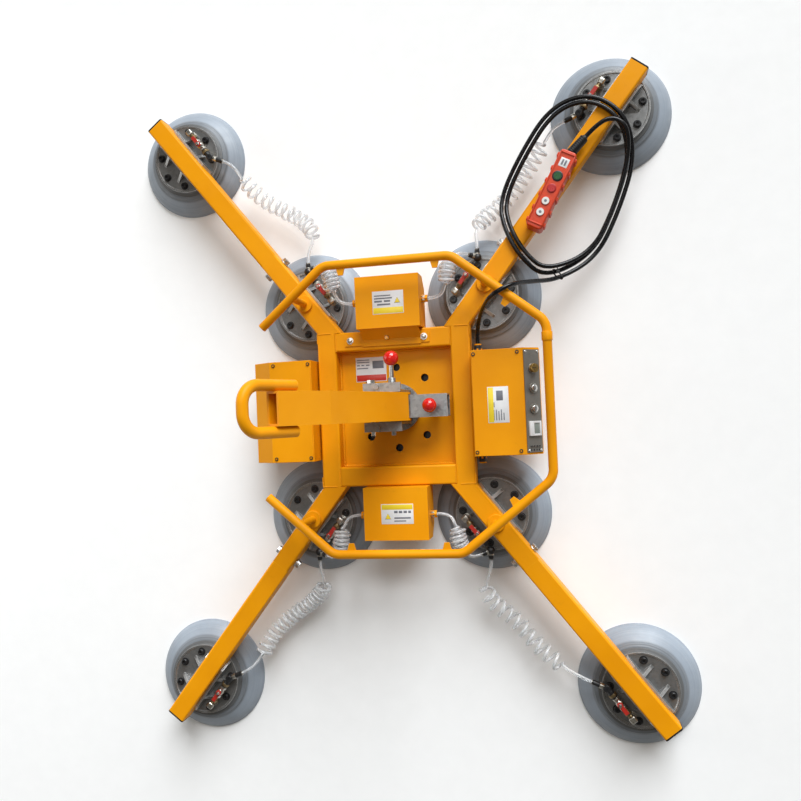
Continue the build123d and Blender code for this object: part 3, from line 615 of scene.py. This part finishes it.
def cup_bell():
    profile = []
    for (r0, z0), (r1, z1) in zip(BELL_OUTSIDE, BELL_OUTSIDE[1:] + BELL_INSIDE[:1]):
        profile.append((r0, z0))
        if r0 > 112:
            profile.append(((r0 + r1) / 2 + .14, (z0 + z1) / 2 + .14))
    profile += BELL_INSIDE[:2]
    outside = lathe(profile + [(0, 44)], 128)
    inside = lathe(BELL_INSIDE[3:] + [(145, -0.0), (150, 0)], 128)
    return outside, inside


def bell_piece(name, quarter, inner, body, replaced):
    outside, inside = cup_bell()
    return piece(name, [(outside, None, RUBBER), (inside, None, RUBBER)], body, 60,
                 cup_matrix(quarter, inner), replaced)


def socket_screw(x, y, z, radius=8.0, height=9.0):
    """Cap screw with a knurled head and a hexagon socket, on a washer."""
    head = lathe([(radius + 2.4, 0), (radius + 2.4, 1.1), (radius, 1.3), (radius, height - 1), (radius - 1, height),
                  (4.2, height), (3.9, height - .4), (3.9, height - 4), (0, height - 4.4)], 36)
    return head, Matrix.Translation((x, y, z)), BLACK_OXIDE


def cup_screws():
    return [socket_screw(75 * math.cos(math.radians(a)), 75 * math.sin(math.radians(a)), 56)
            for a in (45, 90, 135, 225, 270, 315)]


def valve_line():
    """Nipple, elbow, pipe nipple, ball valve and filter, along -X of the cup's frame."""
    y, z = VALVE_Y, VALVE_Z
    parts = []
    nipple = lathe([(10, 0), (10, 1.5), (7, 2.2), (7, 5), (6, 5.6), (6, 7), (7, 7.6), (7, 15)], 24)
    parts.append((nipple, Matrix.Translation((34, y, 56)), NICKEL))
    parts.append((prism(polygon(6, 17), 6, .7), Matrix.Translation((34, y, 60)), NICKEL))
    parts.append((rounded_box(17.4, 17.4, 17.4, 4.5, 4), Matrix.Translation((34, y, z)), NICKEL))
    pipe = lathe([(6.4, 0)] + [(6.6 - .5 * (k % 2), 1 + k) for k in range(5)] + [(6.6, 6), (6.6, 13)]
                 + [(6.6 - .5 * (k % 2), 14 + k) for k in range(8)] + [(6.4, 22)], 24)
    parts.append((pipe, along((25, y, z), (3, y, z)), DULL_SHADED_BRASS))
    part, matrix = hex_part((19, y, z), (12, y, z), 15.6)
    parts.append((part, matrix, DULL_SHADED_BRASS))
    body = lathe([(6, 0), (7.6, 1), (7.6, 8), (6.8, 9), (7.2, 10), (9.2, 12.5), (10, 17), (9.2, 21.5), (7.2, 24),
                  (6.8, 25), (7.6, 26), (7.6, 33), (6, 34)], 32)
    parts.append((body, along((3, y, z), (-31, y, z)), NICKEL))
    for x in (2.6, -23.5):
        part, matrix = hex_part((x, y, z), (x - 7.5, y, z), 16.6)
        parts.append((part, matrix, NICKEL))
    stem = lathe([(5.2, 0), (5.2, 4), (3.5, 4.5), (3.5, 16), (3, 18), (0, 18)], 20)
    parts.append((stem, Matrix.Translation((VALVE_X, y, z + 6)), NICKEL))
    part, matrix = hex_part((VALVE_X, y, 95.3), (VALVE_X, y, 97.9), 8)
    parts.append((part, matrix, STEEL))
    bowl = lathe([(6, 0), (7.4, .8), (8, 2), (8, 11.5), (7.2, 12.2), (7.2, 13.6), (8, 14.3), (8, 16), (7.2, 16.7),
                  (7.2, 18.1), (8, 18.8), (7.6, 21), (0, 21)], 32)
    parts.append((bowl, along((-31, y, z), (-52, y, z)), BLACK))
    part, matrix = hex_part((-35.2, y, z), (-42.8, y, z), 18.6)
    parts.append((part, matrix, DULL_SHADED_BRASS))
    return parts


def push_fitting(start, end, radius=6.5):
    """Push-in hose fitting: hexagon, barrel and release collar."""
    start, end = Vector(start), Vector(end)
    axis = (end - start).normalized()
    length = (end - start).length
    parts = []
    hexagon, matrix = hex_part(start + axis * length * .12, start + axis * length * .42, radius * 2.05)
    parts.append((hexagon, matrix, NICKEL))
    barrel = lathe([(radius * .7, 0), (radius * .9, 1), (radius, 2), (radius, length - 5), (radius * .8, length - 4),
                    (radius * .8, length - 3), (radius * .98, length - 2.4), (radius * .98, length - .6),
                    (4.1, length), (4.1, length - 3)], 28)
    parts.append((barrel, along(start, end), BLACK))
    collar = lathe([(radius * .5, 0), (radius * .98, .4), (radius * .98, 2.6), (4.1, 3), (4.1, 0)], 28)
    parts.append((collar, along(end - axis * 3, end), NICKEL))
    return parts


def outer_hardware():
    parts = cup_screws() + valve_line()
    ball = lathe([(0, -9.4)] + [(9.4 * math.cos(a), 9.4 * math.sin(a)) for a in
                                [math.radians(d) for d in range(-75, 90, 15)]] + [(0, 9.4)], 28)
    parts.append((ball, Matrix.Translation((-60, VALVE_Y, VALVE_Z)), BLACK))
    tower = lathe([(8.2, 0), (8.6, .8), (8.6, 9), (7.6, 10), (7.6, 15), (8.4, 15.6), (8.4, 19.4), (7.6, 20),
                   (3.4, 20), (3.4, 17), (0, 17)], 28)
    parts.append((tower, Matrix.Translation((-61, VALVE_Y, 71)), BLACK))
    collar, matrix = rod_part((-51.5, VALVE_Y, VALVE_Z), (-57, VALVE_Y, VALVE_Z), 8.2)
    parts.append((collar, matrix, BLACK))
    return parts + push_fitting((-63, 59.3, VALVE_Z), (-94, 77, 78))


def inner_hardware():
    turned = Matrix.Diagonal((-1, 1, 1, 1))
    parts = cup_screws() + [(part, turned @ (matrix or Matrix.Identity(4)), material)
                            for part, matrix, material in valve_line()]
    core = lathe([(0, -11)] + [(11 * math.cos(a), 11 * math.sin(a)) for a in
                               [math.radians(d) for d in range(-75, 90, 15)]] + [(0, 11)], 28)
    parts.append((core, Matrix.Translation((68, 60, VALVE_Z)), BLACK))
    return parts + push_fitting((70, 62, 80), (85.6, 74, 80)) + push_fitting((67, 64, 82), (60, 83, 90))


for q in QUARTERS:
    body = f"extension_{q}"
    bell_piece(f"outer_bell_{q}", q, False, body, (f"cup_rubber_{q}",))
    bell_piece(f"inner_bell_{q}", q, True, "frame", ("inner_cup_rubbers",))
    piece(f"outer_fittings_{q}", outer_hardware(), body, 35, cup_matrix(q), (f"cup_hardware_{q}",))
    piece(f"inner_fittings_{q}", inner_hardware(), "frame", 35, cup_matrix(q, True),
          ("inner_cup_hardware",))


# ---- hoses
def spline_points(points):
    """Points of the smooth curve whose control points are these, in their order."""
    curve = bpy.data.curves.new("route", "CURVE")
    curve.dimensions, curve.resolution_u = "3D", 24
    spline = curve.splines.new("NURBS")
    spline.points.add(len(points) - 1)
    for p, co in zip(spline.points, points):
        p.co = (*co, 1)
    spline.order_u = 3
    spline.use_endpoint_u = True
    holder = bpy.data.objects.new("route", curve)
    mesh = bpy.data.meshes.new_from_object(holder)
    line = [v.co.copy() for v in mesh.vertices]
    bpy.data.meshes.remove(mesh)
    bpy.data.objects.remove(holder)
    bpy.data.curves.remove(curve)
    return line


def resample(line, step):
    """The line again at even steps."""
    out, at = [line[0].copy()], 0.0
    for a, b in zip(line, line[1:]):
        run = (b - a).length
        while run > 1e-9 and at + run >= step * len(out):
            out.append(a.lerp(b, (step * len(out) - at) / run))
        at += run
    return out


CLEAR_OF_COIL = 14      # mm of straight path dropped at each end of a coil
COIL_TAPER = 12         # mm over which a coil opens to its full radius
COIL_DETAIL = 20        # a tighter pitch than this gets extra points


def coiled(line, first, last, radius, pitch_first, pitch_last, phase, wobble):
    """A helix round the line between the points nearest first and last, straight elsewhere."""
    step = 1.0
    line = resample(line, step)
    start = min(range(len(line)), key=lambda i: (line[i] - Vector(first)).length)
    end = min(range(len(line)), key=lambda i: (line[i] - Vector(last)).length)
    out, angle, side = [], phase, None
    for i, p in enumerate(line):
        tangent = (line[min(i + 1, len(line) - 1)] - line[max(i - 1, 0)]).normalized()
        if side is None:
            side = tangent.orthogonal().normalized()
        else:
            side = (side - tangent * side.dot(tangent)).normalized()
        up = tangent.cross(side)
        if not start < i < end:
            if not (start - CLEAR_OF_COIL < i < start or end < i < end + CLEAR_OF_COIL) and i % 4 == 0:
                out.append(p.copy())
            continue
        share = (i - start) / (end - start)
        grow = min(1, (i - start) / COIL_TAPER, (end - i) / COIL_TAPER)
        grow = grow * grow * (3 - 2 * grow)
        pitch = pitch_first + (pitch_last - pitch_first) * share
        parts = max(1, round(COIL_DETAIL / pitch))
        for k in range(parts):
            angle += 2 * math.pi / pitch / parts
            along_by = k / parts
            size = radius * grow * (1 + .05 * math.sin(angle * .37 + wobble) + .03 * math.sin(angle * 1.13 + phase))
            lean = tangent * (2.2 * math.sin(angle * .5 + wobble) * grow)
            out.append(p + tangent * along_by * step + lean * .3
                       + (side * math.cos(angle) + up * math.sin(angle)) * size)
    kept = [out[0]]
    for p in out[1:]:       # points that nearly coincide would crease the tube
        if (p - kept[-1]).length > 1.6 and (p - line[-1]).length > 3:
            kept.append(p)
    return kept + [line[-1].copy()]


def hose_piece(name, path, body, diameter, replaced, bodies=None):
    made = piece(name, [(tube(path, diameter / 2, 10), None, HOSE)], None if bodies else body, 60,
                 replaces=(replaced,))
    if bodies:
        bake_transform(made)
    return made


COIL_STATIONS = [(-160, 68), (-230, 52), (-310, 44), (-385, 56), (-432, 76)]
COIL_SIDEWAYS = {"tr": (90, 88, 86, 104, 110), "tl": (84, 84, 116, 140, 132), "bl": (92, 80, 100, 124, 122),
                 "br": (110, 128, 130, 146, 134)}
OUTER_PORT = Vector((-94, 77, 78))
INNER_PORT = Vector((85.6 - CUP_SPACING, 74, 80))
FEED_START = Vector((98, 273, 112))
FEED_LEAD = Vector((130, 273, 112))
FEED_COIL = [Vector((147, 303, 121)), Vector((151, 335, 124)), Vector((160, 362, 118))]
HOSE_DIAMETER = 8.0
COIL_PITCH = {"tr": (22, 18), "tl": (23, 21), "bl": (20, 12.5), "br": (28, 24)}    # outer end, inner end

for index, q in enumerate(QUARTERS):
    matrix = cup_matrix(q)
    coil = [Vector((x, y, z)) for (x, z), y in zip(COIL_STATIONS, COIL_SIDEWAYS[q])]
    route = [OUTER_PORT, OUTER_PORT + Vector((-24.5, 14, -1.75)), *coil, INNER_PORT + Vector((19.36, 15.4, 0)),
             INNER_PORT]
    route = [matrix @ p for p in route]
    path = coiled(spline_points(route), route[2], route[-3], 18.6, *COIL_PITCH[q], index * 1.3, index * 2.1)
    hose = hose_piece(f"coil_hose_{q}", path, None, HOSE_DIAMETER, f"outer_hose_{q}",
                      ("frame", f"extension_{q}"))
    mirrored = Matrix.Diagonal((*SIGNS[q], 1, 1))
    inner = cup_matrix("tr", True)
    port, above = inner @ Vector((60, 83, 90)), inner @ Vector((52, 106, 100))
    route = [mirrored @ p for p in [FEED_START, FEED_LEAD, *FEED_COIL, above, port]]
    path = coiled(spline_points(route), route[2], route[-3], 18.4, 9.5, 9.0, index * .9, index * 1.7)
    hose = hose_piece(f"feed_coil_{q}", path, "frame", HOSE_DIAMETER, f"feed_hose_{q}")


# ---- pendant cable
CABLE_ROUTE = [
    (218, 150, 95), (218, 182, 95), (228, 212, 122), (246, 236, 176), (268, 250, 236), (312, 272, 236),
    (356, 285, 176), (425, 297, 100), (522, 352, 62), (580, 462, 64), (622, 580, 90), (605, 680, 118.5),
    (525, 745, 118.5), (425, 728, 102), (345, 620, 90), (290, 510, 96), (298, 432, 118), (338, 352, 118),
    (395, 303, 98), (512, 361, 62), (568, 467, 64), (609, 581, 90), (593, 673, 118.5), (521, 731, 118.5),
    (432, 716, 102), (356, 613, 90), (303, 508, 96), (311, 436, 118), (349, 362, 118), (398, 319, 111),
    (510, 362, 76), (567, 467, 78), (606, 580, 104), (605, 645, 130), (577.5, 671.6, 133), (539.51, 665.83, 133),
    (505, 632, 133),
]


def cable_curve(name, points, diameter, material):
    curve = bpy.data.curves.new(name, "CURVE")
    curve.dimensions, curve.resolution_u = "3D", 12
    curve.bevel_depth, curve.bevel_resolution = diameter / 2 * MM, 5
    curve.use_fill_caps = True
    spline = curve.splines.new("NURBS")
    spline.points.add(len(points) - 1)
    for p, co in zip(spline.points, points):
        p.co = (*[c * MM for c in co], 1)
    spline.order_u = 3
    spline.use_endpoint_u = True
    curve.materials.append(material)
    made = bpy.data.objects.new(name, curve)
    bpy.context.scene.collection.objects.link(made)
    return made


cable = cable_curve("control_cable", CABLE_ROUTE, 11, CABLE)
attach(cable, "frame")
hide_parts("pendant_cable")
cable_line = spline_points(CABLE_ROUTE)


# ---- small parts on the frame
def at(x, y, z, turn=0):
    return Matrix.Translation((x, y, z)) @ Matrix.Rotation(math.radians(turn), 4, "Z")


def small_box(low, high, radius=.4):
    """A rounded box between two corners."""
    size = [b - a for a, b in zip(low, high)]
    middle = [(a + b) / 2 for a, b in zip(low, high)]
    return rounded_box(*size, radius, 2), Matrix.Translation(middle)


def label_parts(width, height, band, band_low, rows):
    """A blank printed label: white sheet, one coloured band, and grey bars where lines of print would be."""
    parts = [(prism([(-width / 2, -height / 2), (width / 2, -height / 2), (width / 2, height / 2),
                     (-width / 2, height / 2)], .3, .1), None, LABEL_WHITE)]
    low, high = (-height / 2 + 1.5, -height / 2 + height * .28) if band_low else (height * .22, height / 2 - 1.5)
    part, matrix = small_box((-width / 2 + 1.5, low, .2), (width / 2 - 1.5, high, .42), .08)
    parts.append((part, matrix, band))
    for x, y, long, thick in rows:
        part, matrix = small_box((x, y, .2), (x + long, y + thick, .4), .08)
        parts.append((part, matrix, LABEL_GREY))
    return parts


TRIANGLE = [(-7, -6), (7, -6), (0, 7)]
sign = [(prism([(x * 1.15, y * 1.15) for x, y in TRIANGLE], .42, .1), at(24, 4, 0), LABEL_GREY),
        (prism(TRIANGLE, .5, .1), at(24, 4, 0), LABEL_YELLOW)]
upper_rows = [(-35, 16, 42, 3), (-35, 9, 46, 3.4), (-35, 1, 20, 4.6), (-10, 1, 16, 4.6), (-28, -7, 34, 4.2)]
piece("label_upper_box", label_parts(80, 58, LABEL_YELLOW, True, upper_rows) + sign, "frame",
      place=at(3, 264, 153.02))
lower_rows = [(-8, 2, 9, 6), (4, 2, 9, 6), (16, 2, 9, 6), (28, 2, 7, 6), (-8, -12, 42, 4), (-8, -19, 30, 3)]
piece("label_lower_box", label_parts(82, 50, LABEL_YELLOW, False, lower_rows)
      + [(part, at(-48, -10, 0) @ matrix, material) for part, matrix, material in sign], "frame",
      place=at(4, -267, 153.02))
side_rows = [(-38, 10, 26, 2.4), (-38, 4, 26, 2.4), (-38, -2, 22, 2.4), (-38, -8, 26, 2.4), (-6, 9, 12, 2),
             (10, -12, 24, 16), (-38, -14, 18, 2.4)]
piece("label_control_case", label_parts(88, 51, LABEL_YELLOW, False, side_rows), "frame",
      place=at(267.5, -6, 160.02, 90))
plate_rows = [(-38, 24, 34, 2.4), (-38, 18, 34, 2.4), (-38, 10, 8, 3), (-26, 10, 8, 3), (-14, 10, 10, 3),
              (-38, 2, 30, 3), (4, 2, 30, 20)]
piece("label_index_plate", label_parts(82, 64, LABEL_RED, True, plate_rows), "frame", place=at(-67, 103, 72.02))

cap = lathe([(4.5, 0), (4.5, 1.9), (4.0, 2.5), (2.3, 2.5), (2.3, 1.2), (0, 1.0)], 24)
piece("cover_screws", [(cap, at(x, y, 160.1), BLACK_OXIDE) for x in (212, 318, -212, -305) for y in (-120, 120)],
      "frame")
# painted shade: black cups under the index plate's holes, so that the holes read dark
plug = closed_lathe([(0.01, 50), (12.5, 50), (12.5, 63.8), (10.2, 63.8), (10.2, 52), (0.01, 52)], 28)
piece("index_hole_shade_cups", [(plug, at(105 * math.cos(k * math.pi / 4), 105 * math.sin(k * math.pi / 4), 0), BLACK)
                          for k in range(8)], "frame")
glands = []
for side in (-1, 1):
    part, matrix = hex_part((218, side * 130.2, 95), (218, side * 138, 95), 22.8)
    glands.append((part, matrix, BLACK))
    barrel = lathe([(9.5, 0), (9.6, 3), (9.3, 9), (8.2, 12.6), (5.6, 13.4), (5.6, 8)], 28)
    glands.append((barrel, along((218, side * 137, 95), (218, side * 150, 95)), BLACK))
piece("cable_glands", glands, "frame")
fittings = []
for x in (-1, 1):
    for y in (-1, 1):
        part, matrix = hex_part((x * 82.2, y * 273, 112), (x * 92, y * 273, 112), 18)
        fittings.append((part, matrix, NICKEL))
        part, matrix = rod_part((x * 90, y * 273, 112), (x * 98.6, y * 273, 112), 7.2)
        fittings.append((part, matrix, STEEL))
piece("pump_fittings", fittings, "frame")

screws = []
for x, y, z, across in ((-110, 177, 113, 11.4), (84, 177, 113, 11.4)):
    part, matrix = hex_part((x, y, z + .1), (x, y, z + 6.4), across)
    washer = lathe([(0, .02), (8.6, .02), (8.6, 1), (5, 1.2), (0, 1.2)], 24)
    screws += [(part, matrix, STEEL), (washer, at(x, y, z), STEEL)]
part, matrix = rod_part((-11, 181, 119), (-11, 178.6, 123.6), 5.6)
piece("bracket_screws", screws + [(part, matrix, STEEL)], "frame")

# welds: round the tray, across the frame's corners, at the arm roots and at the rail's feet
TRAY, FRAME_IN, FRAME_OUT = 148.6, 150, 200
beads = [[(-TRAY, TRAY, 73), (TRAY, TRAY, 73)], [(-TRAY, -TRAY, 73), (TRAY, -TRAY, 73)],
         [(-TRAY, -TRAY, 73), (-TRAY, TRAY, 73)], [(TRAY, -TRAY, 73), (TRAY, TRAY, 73)]]
welds = [(weld_bead(points, 3.2, 4), None, PAINT) for points in beads]
for sx, sy in SIGNS.values():
    for points in ([(FRAME_IN, FRAME_IN, 109.9), (FRAME_IN, FRAME_OUT - 2, 109.9)],
                   [(FRAME_OUT - 38, FRAME_OUT - .5, 109.9), (FRAME_OUT - 1, FRAME_OUT - 1, 109.9),
                    (FRAME_OUT - .5, FRAME_OUT - 26, 109.9)]):
        welds.append((weld_bead([(sx * x, sy * y, z) for x, y, z in points], 1.5, 2.8), None, PAINT))
    for x, y in ((245, 299.5), (-230, 282.2)):
        ring = [(x + 21 * math.cos(a), sy * y + 21 * math.sin(a), 111) for a in
                [math.radians(d) for d in range(0, 361, 12)]]
        if sx > 0:
            welds.append((weld_bead(ring, 1.7, 2.8), None, PAINT))
piece("welds", welds, "frame", sharp=80)

# ---- control panel and pendant
slope_x, slope_z = Vector((39, 0, -32)).normalized(), Vector((32, 0, 39)).normalized()
SLOPE = Matrix.Translation((349.5, 0, 141)) @ Matrix((slope_x, (0, 1, 0), slope_z)).transposed().to_4x4()
DISPLAY_Y = -67
bezel = [small_box((-17.4, DISPLAY_Y - 17.9, 2.7), (-4.4, DISPLAY_Y + 17.9, 8.3)),
         small_box((12.4, DISPLAY_Y - 17.9, 2.7), (17.4, DISPLAY_Y + 17.9, 8.3)),
         small_box((-4.9, DISPLAY_Y + 12.9, 2.7), (12.9, DISPLAY_Y + 17.9, 8.3)),
         small_box((-4.9, DISPLAY_Y - 17.9, 2.7), (12.9, DISPLAY_Y - 12.9, 8.3))]
panel = [(part, matrix, LABEL_WHITE) for part, matrix in bezel]
part, matrix = small_box((-4.4, DISPLAY_Y - 12.9, 6.1), (12.4, DISPLAY_Y + 12.9, 6.7), .2)
panel.append((part, matrix, SCREEN))
for x in (-12, -4, 4, 12):
    for y in (-110, -119):
        part, matrix = rod_part((x, y, 2.6), (x, y, 5 if y > -115 else 3.4), 2.2, .3, 16)
        panel.append((part, matrix, BLACK))
for y in (79, 31, -19):
    ring = closed_lathe([(8.8, 6.3), (11.8, 6.3), (11.8, 6.6), (11.2, 6.9), (8.8, 6.9)], 40)
    panel.append((ring, at(0, y, 0), NICKEL))
for x in (-18, 18):
    for y in (-120, 120):
        panel.append((lathe([(3.2, 0), (3.2, .8), (2.4, 1.5), (0, 1.7)], 20), at(x, y, 2.6), STEEL))
piece("panel_details", panel, "frame", place=SLOPE)
dome = lathe([(8, 0), (7.8, .7), (6.6, 1.5), (4, 2.2), (0, 2.5)], 36)
for number, y in ((1, 31), (2, -19)):
    piece(f"panel_button_dome_{number}", [(dome, at(0, y, 10.1), STEEL)], f"panel_button_{number}", place=SLOPE)
pointer, matrix = small_box((-8, 78.1, 15.9), (2, 79.9, 16.4), .2)
knurl = []
for k in range(24):
    a = 2 * math.pi * k / 24
    x, y = 10.3 * math.cos(a), 79 + 10.3 * math.sin(a)
    part, place = rod_part((x, y, 7.6), (x, y, 15.2), .9, .3, 8)
    knurl.append((part, place, BRASS))
piece("panel_knob_details", [(pointer, matrix, BLACK)] + knurl, "panel_knob", place=SLOPE)

PENDANT = at(*PENDANT_CENTRE, PENDANT_ANGLE)
pendant = []
for low, high in (((-90, 16.4, 22.4), (94, 19.6, 25.4)), ((-90, -19.6, 22.4), (94, -16.4, 25.4)),
                  ((-90, -19.6, 22.4), (-86.6, 19.6, 25.4)), ((90.6, -19.6, 22.4), (94, 19.6, 25.4))):
    part, matrix = small_box(low, high, 1.2)
    pendant.append((part, matrix, SHELL))
for x in (-84, -52, -16, 18, 50, 84):
    for side in (-1, 1):
        part, matrix = small_box((x - 5, side * 22.6 - 2.4, -14), (x + 5, side * 22.6 + 2.4, 19), 1.6)
        pendant.append((part, matrix, SHELL))
for x, material, wide in ((34, BLACK, 13), (2, RED_BUTTON, 11.2), (-31, SHELL, 11), (-60, SHELL, 11)):
    ring = closed_lathe([(9.5, 22.6), (wide, 22.6), (wide, 23.8), (wide - .8, 24.4), (9.5, 24.4)], 40)
    pendant.append((ring, at(x, 0, 0), material))
part, matrix = small_box((58, -11, 22.8), (80, 11, 23.5), .2)
pendant.append((part, matrix, LABEL_WHITE))
for y in (-6, 1.5):
    part, matrix = small_box((62, y, 23.3), (76, y + 4.6, 23.62), .08)
    pendant.append((part, matrix, LABEL_GREY))
piece("pendant_details", pendant, "frame", place=PENDANT)
for number, x in ((3, -31), (4, -60)):
    part, matrix = rod_part((x, 0, 25.9), (x, 0, 26.3), 3.4, .1, 24)
    piece(f"pendant_button_mark_{number}", [(part, matrix, LABEL_GREY)], f"pendant_button_{number}", place=PENDANT)
boot_start, boot_end = Vector((464.4, 592.2, 133)), Vector((505, 632, 133))
boot_length = (boot_end - boot_start).length
boot = []
steps = 10
for k in range(steps):
    low, high = 3 + k * (boot_length - 5) / steps, 3 + (k + .55) * (boot_length - 5) / steps
    r = 11.6 - 2 * low / boot_length
    boot += [(r - .3, low - .3), (r + 1.1, low), (r + .9, high), (r - .5, high + .3)]
piece("strain_relief", [(closed_lathe([(5.7, .5)] + boot + [(5.7, boot_length - 1)], 32),
                         along(boot_start, boot_end), BLACK)], "frame")

here = min(range(len(cable_line)), key=lambda i: (cable_line[i] - Vector((425, 297, 100))).length)
others = [i for i in range(len(cable_line)) if abs(i - here) > 150]
there = min(others, key=lambda i: (cable_line[i] - cable_line[here]).length)
first, second = cable_line[here], cable_line[there]
across, middle = (second - first), (first + second) / 2
heading = (cable_line[here + 1] - cable_line[here - 1]).normalized()
wide = across.normalized()
wide = (wide - heading * wide.dot(heading)).normalized()
tall = heading.cross(wide)
loop = [middle + wide * math.cos(a) * (across.length / 2 + 7.2) + tall * math.sin(a) * 7.6
        for a in [2 * math.pi * k / 40 for k in range(41)]]
tie = tube(loop, 1.7, 8)
head = rounded_box(8, 6, 5, .8, 2)
tail = tube([middle + tall * 8, middle + tall * 14 + wide * 3, middle + tall * 22 + wide * 10], 1.2, 8)
piece("cable_tie", [(tie, None, BLACK), (head, Matrix.Translation(middle + tall * 8.4), BLACK), (tail, None, BLACK)],
      "frame")


# ---- lights and floor
def light(name, kind, place, aim, power, color, **options):
    data = bpy.data.lights.new(name, kind)
    data.energy, data.color = power, color
    for key, value in options.items():
        setattr(data, key, value)
    made = bpy.data.objects.new(name, data)
    made.location = place
    made.rotation_euler = (Vector(aim) - Vector(place)).to_track_quat("-Z", "Y").to_euler()
    bpy.context.scene.collection.objects.link(made)


def make_stage():
    bpy.context.scene.view_settings.view_transform = "Standard"
    world = bpy.data.worlds.new("studio")
    world.use_nodes = True
    world.node_tree.nodes["Background"].inputs[0].default_value = (1, .94, .84, 1)
    world.node_tree.nodes["Background"].inputs[1].default_value = .18
    bpy.context.scene.world = world
    light("sky", "SUN", (1.0, 2.9, 1.9), (0, 0, 0), 4.5, (.94, .975, 1), angle=math.radians(42))
    light("overhead", "AREA", (-.2, .9, 3.1), (0, 0, 0), 14, (1, .985, .96), shape="DISK", size=1.6)
    light("side", "AREA", (-2.6, .4, 1.0), (0, 0, .1), 9, (1, .98, .95), shape="DISK", size=1.2)
    mesh = bpy.data.meshes.new("floor")
    mesh.from_pydata([(-30, -30, -.0004), (30, -30, -.0004), (30, 30, -.0004), (-30, 30, -.0004)], [], [(0, 1, 2, 3)])
    mesh.materials.append(FLOOR)
    floor = bpy.data.objects.new("floor", mesh)
    bpy.context.scene.collection.objects.link(floor)


make_stage()
